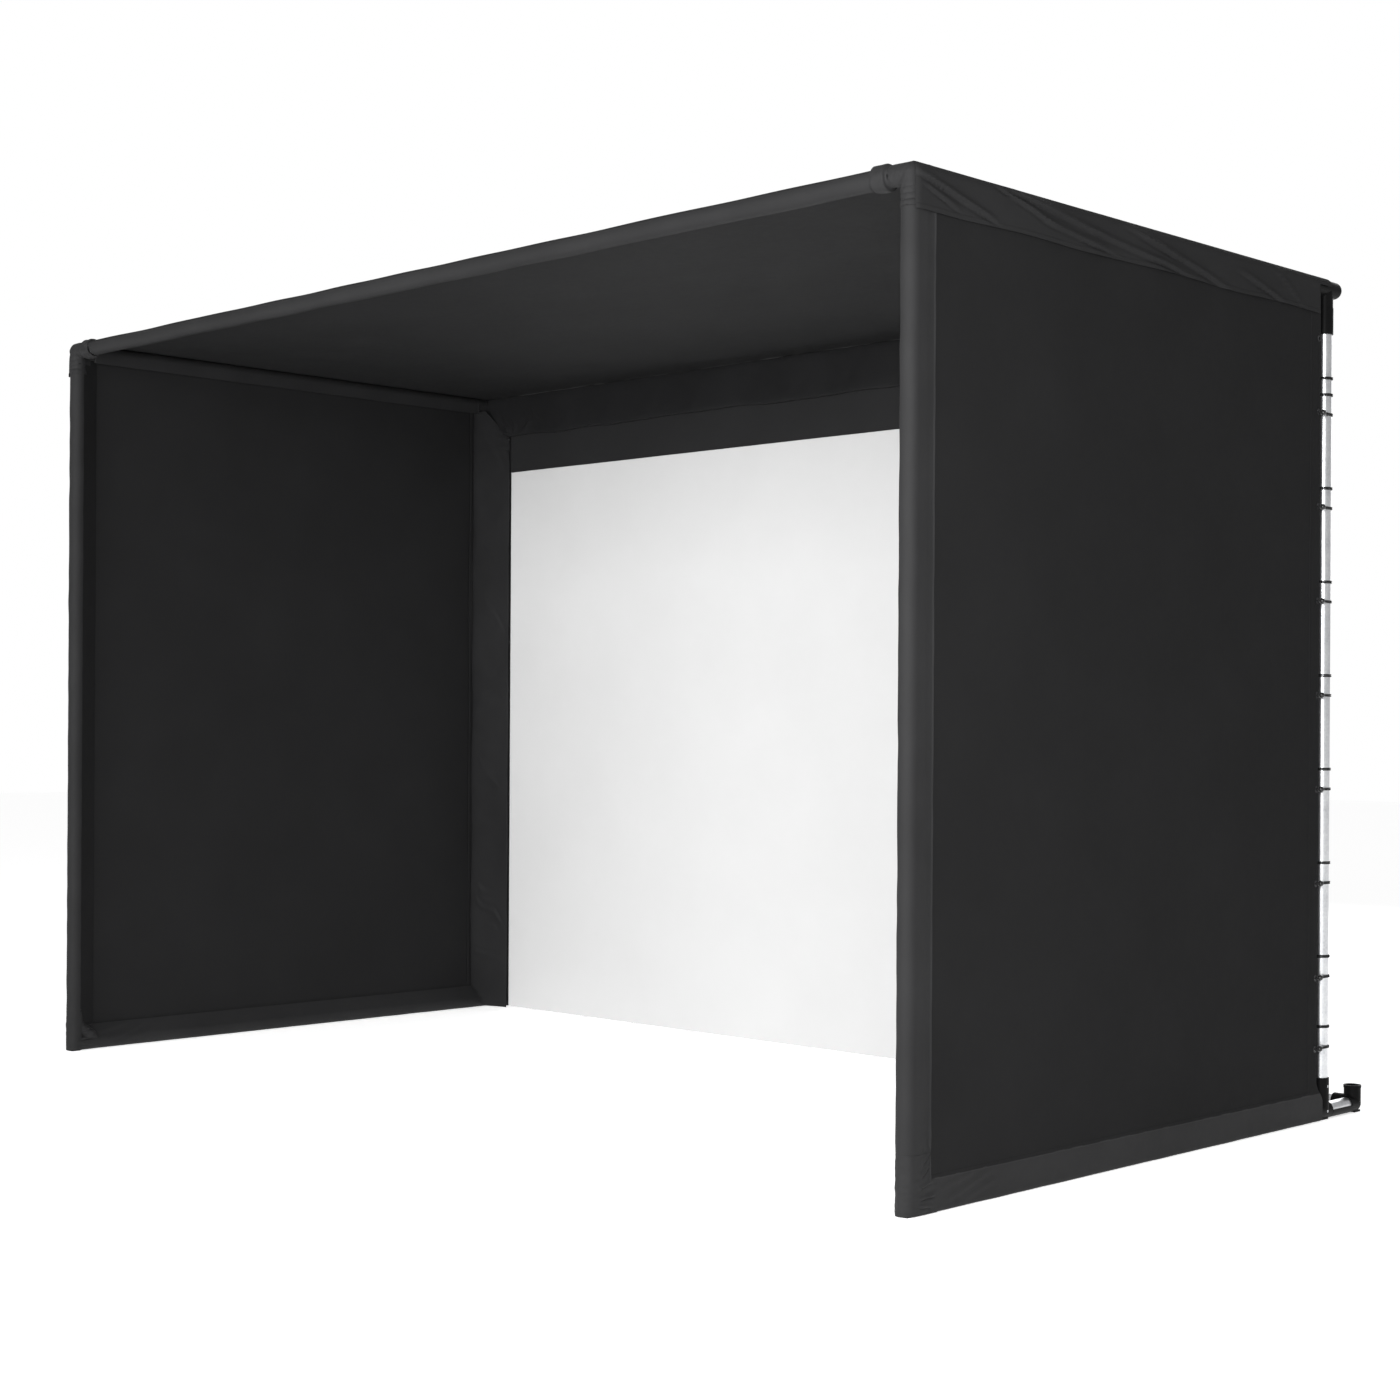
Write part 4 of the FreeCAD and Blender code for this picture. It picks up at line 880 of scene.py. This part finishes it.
def rod(name, start, end, radius, sides=40):
    """A closed cylinder between two points, for remeshing."""
    start, end = Vector(start), Vector(end)
    span = end - start
    shape = bmesh.new()
    bmesh.ops.create_cone(shape, cap_ends=True, segments=sides, radius1=radius, radius2=radius,
                          depth=span.length)
    turn = span.to_track_quat("Z", "Y").to_matrix().to_4x4()
    bmesh.ops.transform(shape, matrix=Matrix.Translation((start + end) / 2) @ turn, verts=shape.verts)
    return from_bmesh(name, shape)


def orb(name, centre, radius):
    shape = bmesh.new()
    bmesh.ops.create_uvsphere(shape, u_segments=40, v_segments=24, radius=radius)
    bmesh.ops.translate(shape, vec=centre, verts=shape.verts)
    return from_bmesh(name, shape)


def block(name, first, second):
    lowest = Vector(map(min, first, second))
    span = Vector(map(max, first, second)) - lowest
    shape = bmesh.new()
    bmesh.ops.create_cube(shape, size=1)
    bmesh.ops.scale(shape, vec=span, verts=shape.verts)
    bmesh.ops.translate(shape, vec=lowest + span / 2, verts=shape.verts)
    return from_bmesh(name, shape)


def shrink_wrap(name, forms):
    """One soft skin round several forms."""
    skin = join(name, forms)
    remesh = skin.modifiers.new("skin", "REMESH")
    remesh.mode = "VOXEL"
    remesh.voxel_size = VOXEL
    soften = skin.modifiers.new("soften", "SMOOTH")
    soften.factor = 0.5
    soften.iterations = SMOOTHINGS
    return settle(skin)


def vectors_of(thing, what):
    """A vector of every vertex, co or normal, as an array."""
    values = np.zeros(len(thing.data.vertices) * 3)
    thing.data.vertices.foreach_get(what, values)
    return values.reshape(-1, 3)


def set_points(thing, points):
    thing.data.vertices.foreach_set("co", points.astype(np.float32).ravel())
    thing.data.update()


def open_ends(thing, ends):
    """Cut a skin open past each end, given as (axis, place, sign)."""
    shape = bmesh.new()
    shape.from_mesh(thing.data)
    for axis, place, sign in ends:
        at, away = Vector(), Vector()
        at[axis], away[axis] = place, sign
        everything = [*shape.verts, *shape.edges, *shape.faces]
        bmesh.ops.bisect_plane(shape, geom=everything, plane_co=at, plane_no=away, clear_outer=True)
    shape.to_mesh(thing.data)
    shape.free()


def punch(thing, node, axis):
    """Cut the holes for a node's grommets through a cloth."""
    reach = Vector(axis) * HOLE_REACH
    lowest, highest = box_of(thing.bound_box)
    holes = [
        rod("hole", centre - reach, centre + reach, HOLE_R, 20)
        for centre in solids_of(node)
        if all(lowest[i] - HOLE_NEAR < centre[i] < highest[i] + HOLE_NEAR for i in range(3))
    ]
    cutter = join("holes", holes)
    hole = thing.modifiers.new("holes", "BOOLEAN")
    hole.operation = "DIFFERENCE"
    hole.object = cutter
    settle(thing)
    bpy.data.objects.remove(cutter)


def finish_cover(thing, node, seed, ends, folds):
    """Rumple a cover, open its sleeves and give it the cloth's thickness."""
    points, normals = vectors_of(thing, "co"), vectors_of(thing, "normal")
    height = 0.8 * MM * ripples(points, 0.05, seed) + 0.35 * MM * ripples(points, 0.02, seed + 1)
    height += folds(points)
    set_points(thing, points + normals * height[:, None])
    open_ends(thing, ends)
    thicken(thing)
    declare(thing, TRIM, [node], "frame")


def corner_cover(side, word):
    """Over a front top corner: a puffed cuff on the bar, a skirt down the post and a side panel."""
    name = f"front_{word}_corner_cover"
    hub = Vector((side * POST_X, FRONT_Y, TOP_Z))
    bar_end = Vector((side * (CUFF_X - SPARE), FRONT_Y, TOP_Z))
    cuff = [side * (CUFF_X + offset) for offset in (4 * MM, 46 * MM)]
    post_end = Vector((hub.x, FRONT_Y, CORNER_LOW_Z - SPARE))
    rail_end = Vector((hub.x, COVER_REAR_Y + SPARE, TOP_Z))
    outer = side * (POST_X + WALL_R + 0.4 * MM)
    cuff_z = TOP_Z - 1 * MM
    forms = [
        orb("hub", hub, COVER_R),
        rod("bar_sleeve", hub, bar_end, COVER_R),
        rod("cuff", (cuff[0], FRONT_Y, cuff_z), (cuff[1], FRONT_Y, cuff_z), COVER_R + 6.5 * MM),
        rod("post_sleeve", hub, post_end, COVER_R),
        rod("post_collar", post_end, post_end + Vector((0, 0, 18 * MM)), COVER_R + 1.5 * MM),
        rod("rail_sleeve", hub, rail_end, COVER_R),
        block("panel", (outer, FRONT_Y, CORNER_LOW_Z - SPARE), (side * PANEL_INNER, FRONT_SEAM_Y, TOP_Z)),
    ]
    thing = shrink_wrap(name.replace("cover", "sleeve"), forms)

    def folds(p):
        out = side * (p[:, 0] - side * POST_X)
        down = TOP_Z - p[:, 2]
        front = FRONT_Y - p[:, 1]
        height = -1.8 * MM * bump(out, -60 * MM, 5 * MM) * bump(down, 0, 60 * MM)
        for place in (30 * MM, 46 * MM, 62 * MM):
            height -= 1.5 * MM * bump(down, place + 0.25 * front, 2.6 * MM) * bump(out, 0, 30 * MM)
        height += 1.4 * MM * ripples(p, 0.03, 41 + side, stretch=(0.4, 1, 1)) * bump(out, -95 * MM, 20 * MM)
        return height

    ends = ((0, side * CUFF_X, -side), (2, CORNER_LOW_Z, -1), (1, COVER_REAR_Y, 1))
    finish_cover(thing, name, 43 + side, ends, folds)


def foot_cover(side, word):
    """The cover over a front foot: round the post and along the floor rail, gathered where they meet."""
    name = f"front_{word}_foot_cover"
    lowest = 2 * CLOTH
    hub = Vector((side * POST_X, FRONT_Y, FLOOR_Z))
    outer = side * (POST_X + WALL_R + 0.6 * MM)
    inner = side * PANEL_INNER
    bottom, top, rear = lowest - SPARE, FOOT_TOP_Z + SPARE, COVER_REAR_Y + SPARE
    forms = [
        rod("post_sleeve", (hub.x, hub.y, bottom), (hub.x, hub.y, top), COVER_R),
        rod("rail_sleeve", hub, (hub.x, rear, FLOOR_Z), COVER_R),
        block("panel", (outer, FRONT_Y, bottom), (inner, FRONT_SEAM_Y, top)),
        block("skirt", (outer, FRONT_Y, bottom), (inner, rear, FLOOR_SEAM_Z)),
        rod("gusset", (hub.x, FRONT_Y, FLOOR_SEAM_Z + 12 * MM), (hub.x, POCKET_Y, FLOOR_Z), WALL_R - 3 * MM),
    ]
    thing = shrink_wrap(name.replace("cover", "sleeve"), forms)

    def folds(p):
        height = creases(p[:, 1] - FRONT_Y, p[:, 2], FOOT_FOLDS, 0.8)
        turn = np.arctan2(p[:, 1] - FRONT_Y, side * (p[:, 0] - hub.x))
        height += 0.6 * MM * np.sin(p[:, 2] / (6 * MM) + 1.6 * turn) * bump(p[:, 2], 70 * MM, 30 * MM)
        near_floor = 1 - ease(p[:, 2], lowest, lowest + 12 * MM)
        return height * (1 - near_floor) - 0.8 * MM * near_floor

    ends = ((2, FOOT_TOP_Z, 1), (2, lowest, -1), (1, COVER_REAR_Y, 1))
    finish_cover(thing, name, 51 + side, ends, folds)


# Pads

PAD_BOTTOM_Z = low("right_pad_cover").z
PAD_TOP_LOW_Z = low("top_pad_cover").z
PAD_TOP_HIGH_Z = high("top_pad_cover").z
PAD_INNER = POST_X - low("right_pad_cover").x
PAD_OUTER = high("right_pad_cover").x - POST_X
PAD_NOTCH = POST_X - high("top_pad_cover").x
PAD_FACE_OUTER_Y = low("right_pad_cover").y
PAD_BACK_INNER_Y = high("right_pad_cover").y
TOP_PAD_FACE_Y = low("top_pad_cover").y
TOP_PAD_BACK_Y = high("top_pad_cover").y
PAD_END = 12 * MM
SIDE_PAD_POINTS = 112
TOP_PAD_POINTS = 104


def soft_ring(count, power=5.0):
    """A rounded rectangle, from -1 to 1 both ways."""
    angles = np.linspace(0, 2 * math.pi, count, endpoint=False)
    c, s = np.cos(angles), np.sin(angles)
    return np.sign(c) * np.abs(c) ** (2 / power), np.sign(s) * np.abs(s) ** (2 / power)


def pad_mesh(name, rings):
    """A closed skin through rings of points, with a fan at each end."""
    count, around = rings.shape[:2]
    points = [*rings.reshape(-1, 3), rings[0].mean(0), rings[-1].mean(0)]
    faces = ring_faces(count, around)
    for j in range(around):
        k = (j + 1) % around
        faces.append((count * around, k, j))
        faces.append((count * around + 1, (count - 1) * around + j, (count - 1) * around + k))
    return new_object(name, points, faces)


def tuck_ends(share, length):
    """Rounds a pad off at its ends: how full each ring is."""
    reach = np.minimum(share, 1 - share) * length
    return np.sqrt(np.clip(1 - (1 - np.clip(reach / (2 * MM), 0, 1)) ** 2, 0.04, 1))


def pad_steps(length):
    """Where a pad's rings lie along it, as shares of its length: close together at its ends."""
    ends = np.linspace(0, PAD_END, 7)[:-1]
    core = np.linspace(PAD_END, length - PAD_END, max(8, round(length / (9 * MM))))
    return np.concatenate([ends, core, length - ends[::-1]]) / length


def side_pad(side, word):
    """A side pad: a soft slab that slants back from the wall to the screen."""
    length = PAD_TOP_LOW_Z - PAD_BOTTOM_Z + PAD_INNER - PAD_NOTCH
    across, through = soft_ring(SIDE_PAD_POINTS)
    rings = []
    for share in pad_steps(length):
        z = PAD_BOTTOM_Z + share * length
        outer = np.clip(PAD_OUTER + 0.94 * (z - FLOOR_SEAM_Z - 6 * MM), -PAD_NOTCH, PAD_OUTER)
        a = (outer - PAD_INNER) / 2 + across * (outer + PAD_INNER) / 2
        t = (a + PAD_INNER) / (PAD_OUTER + PAD_INNER)
        face = (PAD_BACK_INNER_Y - 6 * MM) + t * (PAD_FACE_OUTER_Y + 2 * MM - PAD_BACK_INNER_Y + 6 * MM)
        back = PAD_BACK_INNER_Y - 1 * MM + t * (24 * MM + PAD_FACE_OUTER_Y - PAD_BACK_INNER_Y)
        full = tuck_ends(share, length)
        y = (face + back) / 2 + through * (back - face) / 2 * full
        mitre = PAD_TOP_LOW_Z + PAD_INNER + a + 0.4 * MM
        top = np.minimum(mitre, TOP_Z - TUBE_R - 2 * MM)
        z_here = PAD_BOTTOM_Z + share * (top - PAD_BOTTOM_Z)
        rings.append(np.stack([side * (POST_X + a), y, z_here], 1))
    rings = np.array(rings)
    thing = pad_mesh(f"{word}_pad", rings if side == LEFT else rings[:, ::-1])
    soften_pad(thing, (f"{word}_pad_cover", f"{word}_pad_foam"), 61 + side, side)


def top_pad():
    """The top pad, mitred to the side pads."""
    half = POST_X - WALL_R + 2 * MM
    length = 2 * half
    tall = PAD_TOP_HIGH_Z - PAD_TOP_LOW_Z
    across, through = soft_ring(TOP_PAD_POINTS)
    rings = []
    for share in pad_steps(length):
        z = PAD_TOP_LOW_Z + tall / 2 + across * tall / 2
        t = (z - PAD_TOP_LOW_Z) / tall
        full = tuck_ends(share, length)
        face = TOP_PAD_FACE_Y + 1 * MM + t * 9 * MM
        back = TOP_PAD_BACK_Y - 11 * MM + t * 10 * MM
        y = (face + back) / 2 + through * (back - face) / 2 * full
        reach = np.minimum(POST_X - PAD_INNER + 1.25 * (z - PAD_TOP_LOW_Z), half) + 0.4 * MM
        x = (2 * share - 1) * reach
        rings.append(np.stack([x, y, z], 1))
    thing = pad_mesh("top_pad", np.array(rings))
    soften_pad(thing, ("top_pad_cover", "top_pad_foam"), 67, 0)


def soften_pad(thing, nodes, seed, side):
    face_outward(thing)
    points, normals = vectors_of(thing, "co"), vectors_of(thing, "normal")
    height = 1.1 * MM * ripples(points, 0.30, seed) + 0.6 * MM * ripples(points, 0.09, seed + 5)
    along, up = np.abs(points[:, 0]) - POST_X, points[:, 2]
    line = points[:, 0] if side == 0 else up
    wave = ripples(np.stack([line, 0 * line], 1), 0.34, seed + 9)
    if side == 0:
        points[:, 2] += 3 * MM * wave * (1 - ease(up, PAD_TOP_LOW_Z, PAD_TOP_LOW_Z + 0.10))
    else:
        points[:, 0] += side * 2.5 * MM * wave * ease(along, -60 * MM, PAD_OUTER)
    height += creases(along, up, PAD_FOLDS)
    set_points(thing, points + normals * height[:, None])
    smooth(thing)
    declare(thing, PAD, nodes, "frame")


# Folds on the pads, in millimetres: ends as offsets from the post axis and heights, then rise and width.
PAD_FOLDS = (
    (-20, 520, -130, 360, 2.2, 11),
    (-10, 460, -110, 330, 1.6, 9),
    (0, 240, -120, 220, 2, 9),
    (-20, 1050, -120, 930, 1.4, 12),
    (-40, 1750, -130, 1600, 1.3, 12),
    (-30, 2440, -120, 2300, 2, 11),
    (-165, 2425, -50, 2475, 4, 9),
    (-165, 2405, -30, 2430, 3.5, 8),
    (-165, 2370, -60, 2385, 3, 9),
    (-175, 2435, -105, 2535, 4, 9),
    (-210, 2440, -185, 2530, 3.5, 10),
    (-270, 2440, -330, 2510, 3, 12),
)


# Screen

SCREEN_STEP = 24 * MM
WEBBING_THICK = 2.2 * MM


def screen_wave(x, z):
    """How far the hung cloth stands back from its plane."""
    here = np.stack([x, z], 2)
    bow = 5 * MM * (1 - (x / BAND_X) ** 2) * np.sin(np.clip(z / BAND_TOP_Z, 0, 1) * math.pi)
    edge = ease(np.abs(x), SCREEN_X - 0.12, SCREEN_X) + ease(z, BAND_TOP_Z - 0.08, BAND_TOP_Z)
    ripple = 1.0 * MM * ripples(here, 0.7, 71) + 0.25 * MM * ripples(here, 0.2, 72)
    return (bow + ripple) * (1 - np.clip(edge, 0, 1))


def screen_piece(thing, axis, material, node):
    punch(thing, "screen_grommets", axis)
    declare(thing, material, [node], "screen")


def screen_sheet(name, x_values, z_values, node, material, lift=0.0):
    x, z = np.meshgrid(x_values, z_values, indexing="ij")
    y = SCREEN_Y + screen_wave(x, z) + lift
    sheet = grid_object(name, np.stack([x, y, z], 2))
    thicken(sheet)
    screen_piece(sheet, (0, 1, 0), material, node)


def screen():
    """The white cloth, its black band, the side webbing and the skirt turned back along the floor."""
    white_x = stops(-SCREEN_X, (SCREEN_X, SCREEN_STEP))
    white_z = stops(SCREEN_LOW_Z, (BAND_LOW_Z, SCREEN_STEP))
    screen_sheet("screen_white", white_x, white_z, "impact_screen", WHITE)
    band_x = stops(-BAND_X, (BAND_X, SCREEN_STEP))
    band_z = stops(BAND_LOW_Z + 0.3 * MM, (BAND_TOP_Z, 10 * MM))
    screen_sheet("screen_band", band_x, band_z, "screen_top_band", BAND, lift=-0.2 * MM)
    strips = []
    for side in (LEFT, RIGHT):
        strip_x = side * stops(SCREEN_X + 0.2 * MM, (BAND_X, 8 * MM))
        x, z = np.meshgrid(strip_x, white_z, indexing="ij")
        hump = 0.6 * MM * ripples(np.stack([x, z], 2), 0.12, 75)
        strips.append(grid_object("webbing", np.stack([x, SCREEN_Y + hump, z], 2)))
        thicken(strips[-1], WEBBING_THICK)
    screen_piece(join("screen_webbing", strips), (0, 1, 0), WEBBING, "screen_side_webbing")
    skirt_y = stops(SCREEN_Y + CLOTH, (SKIRT_REAR_Y, 5 * MM))
    x, y = np.meshgrid(white_x, skirt_y, indexing="ij")
    z = middle("screen_skirt").z + 0.5 * MM * ripples(np.stack([x, y], 2), 0.3, 76)
    skirt = grid_object("screen_hem", np.stack([x, y, z], 2))
    thicken(skirt)
    screen_piece(skirt, (0, 0, 1), WHITE, "screen_skirt")


# Bungees

CORD_R = 2.0 * MM
CORD_APART = 2.3 * MM
FLOOR_CORD_R = 1.7 * MM
FLOOR_CORD_APART = 1.9 * MM
EDGE_TURN_R = 6 * MM
EDGE_GRIP = 5 * MM
BALL_R = 9 * MM
BALL_SIDES = 24


def tube_along(points, radius, sides=8):
    """Rings of a closed tube along a closed planar line, with its faces."""
    ahead = np.roll(points, -1, 0) - np.roll(points, 1, 0)
    ahead /= np.linalg.norm(ahead, axis=1, keepdims=True)
    plane = np.cross(points[0] - points.mean(0), ahead[0])
    plane /= np.linalg.norm(plane)
    outward = np.cross(ahead, plane)
    rings = []
    for k in range(sides):
        angle = 2 * math.pi * k / sides
        rings.append(points + radius * (math.cos(angle) * outward + math.sin(angle) * plane))
    return np.stack(rings, 1).reshape(-1, 3), ring_faces(len(points), sides, closed=True)


def cords(name, tube_at, edge_at, offsets, side=0, radius=CORD_R, apart=CORD_APART, nodes=(), body=None):
    """Doubled elastic loops round a tube and a grommet, one pair at each offset.

    On a bar (side 0) the offsets run along it and the loops are set out as (y, z). On a side's post they
    are heights, and the loops are set out as (outward from the post's axis, y).
    """
    line = belt(tube_at, edge_at, TUBE_R + radius + 0.3 * MM, EDGE_TURN_R, 3 * MM)
    keep = np.linalg.norm(line - np.roll(line, 1, 0), axis=1) > 0.4 * MM
    line = line[keep]
    vertices, faces = [], []
    reach = np.linalg.norm(line - np.array(tube_at), axis=1)
    pinch = 1 - 0.45 * ease(reach, TUBE_R + 8 * MM, reach.max())
    for offset in offsets:
        for which in (-1, 1):
            along = offset + which * apart * pinch
            if side:
                points = np.stack([side * (POST_X + line[:, 0]), line[:, 1], along], 1)
            else:
                points = np.stack([along, line[:, 0], line[:, 1]], 1)
            add_shape(vertices, faces, *tube_along(points, radius))
    thing = smooth(new_object(name, vertices, faces), 60)
    declare(thing, CORD, nodes, body)
    return thing


def solids_of(node):
    """Centre of each separate solid in a CAD node."""
    shape = bmesh.new()
    shape.from_mesh(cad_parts[node].data)
    bmesh.ops.remove_doubles(shape, verts=shape.verts, dist=1e-6)
    shape.verts.ensure_lookup_table()
    left = set(shape.verts)
    centres = []
    while left:
        stack = [left.pop()]
        found = []
        while stack:
            vert = stack.pop()
            found.append(vert.co.copy())
            for edge in vert.link_edges:
                other = edge.other_vert(vert)
                if other in left:
                    left.remove(other)
                    stack.append(other)
        lowest, highest = box_of(found)
        centres.append((lowest + highest) / 2)
    shape.free()
    return sorted(centres, key=lambda p: (round(p.x, 3), round(p.y, 3), round(p.z, 3)))


def wall_cords():
    for side, word in SIDES:
        node = f"{word}_wall_bungees"
        cords(f"{word}_wall_cords", (0, REAR_Y), (WALL_R, WALL_REAR_Y - EDGE_GRIP),
              [p.z for p in solids_of(node)], side, nodes=[node], body="frame")


def roof_cords():
    cords("roof_cords", (TOP_BAR_Y, TOP_Z), (ROOF_REAR_Y - EDGE_GRIP, ROOF_Z),
          [p.x for p in solids_of("roof_bungees")], nodes=["roof_bungees"], body="frame")


def screen_cords():
    """The screen's loops, which stretch between the frame and the screen."""
    every = solids_of("screen_side_bungees")
    for side, word in SIDES:
        heights = [p.z for p in every if side * p.x > 0]
        thing = cords(f"screen_side_cords_{word}", (0, REAR_Y), (BAND_X - EDGE_GRIP - POST_X, SCREEN_Y),
                      heights, side, nodes=["screen_side_bungees"] if side == RIGHT else ())
        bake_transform(thing)
    thing = cords("screen_top_cords", (TOP_BAR_Y, TOP_Z), (SCREEN_Y, BAND_TOP_Z - EDGE_GRIP),
                  [p.x for p in solids_of("screen_top_bungees")], nodes=["screen_top_bungees"])
    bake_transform(thing)
    thing = cords("screen_bottom_cords", (FLOOR_BAR_Y, FLOOR_Z),
                  (SKIRT_REAR_Y - EDGE_GRIP, middle("screen_skirt").z),
                  [p.x for p in solids_of("screen_bottom_bungees")], radius=FLOOR_CORD_R,
                  apart=FLOOR_CORD_APART, nodes=["screen_bottom_bungees"])
    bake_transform(thing)


def ball_profile():
    """Outline of a bungee ball: a domed ball with a short collar and a drilled top."""
    collar = [(2.4 * MM, -7.9 * MM), (5.2 * MM, -8.2 * MM), (6.0 * MM, -7.2 * MM)]
    turns = np.radians(np.linspace(-50, 72, 16))
    dome = [(BALL_R * math.cos(t), BALL_R * math.sin(t)) for t in turns]
    return collar + dome + [(2.4 * MM, 8.7 * MM), (1.9 * MM, 7.6 * MM)]


def lathe(points, sides):
    """A closed solid of revolution about Z with a hole through it."""
    vertices = []
    for j in range(sides):
        t = 2 * math.pi * j / sides
        vertices += [(r * math.cos(t), r * math.sin(t), z) for r, z in points]
    return np.array(vertices), ring_faces(sides, len(points), closed=True)


def balls(name, node, body):
    """A ball at each place of the CAD node's balls, its hole along the cord."""
    shape, shape_faces = lathe(ball_profile(), BALL_SIDES)
    vertices, faces = [], []
    for centre in solids_of(node):
        heading = Vector((0, -1, 0))
        if abs(centre.x) < SCREEN_X and centre.z > 1:
            heading = Vector((0, 0.25, 1)) if centre.z < TOP_Z else Vector((0, -1, 0.1))
        elif abs(centre.x) < POST_X - TUBE_R and centre.z > 0.1:
            heading = Vector((-math.copysign(1, centre.x), -0.4, 0))
        turn = np.array(heading.to_track_quat("Z", "Y").to_matrix())
        add_shape(vertices, faces, shape @ turn.T + np.array(centre), shape_faces)
    thing = new_object(name, vertices, faces)
    face_outward(thing)
    smooth(thing)
    declare(thing, BALL, [node], body)


# Finishes of the pieces that stay as they are


def frame_finishes():
    """Give each CAD node that still shows its finish."""
    for name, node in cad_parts.items():
        if node.hide_render:
            continue
        if name.endswith("_post"):
            material = STEEL["Z"]
        elif name.endswith("_rail"):
            material = STEEL["Y"]
        elif "_bar_" in name or name == "bar_spigots":
            material = STEEL["X"]
        elif name.endswith("grommets"):
            material = GROMMET
        elif "screw" in name or "eye_bolt" in name:
            material = ZINC
        else:
            material = FITTING
        node.data.materials.clear()
        node.data.materials.append(material)


camera()
studio()
for hand, hand_word in SIDES:
    wall(hand, hand_word)
    corner_cover(hand, hand_word)
    foot_cover(hand, hand_word)
    side_pad(hand, hand_word)
roof()
top_pad()
screen()
wall_cords()
roof_cords()
screen_cords()
balls("cover_balls", "cover_bungee_balls", "frame")
balls("screen_balls", "screen_bungee_balls", "screen")
frame_finishes()
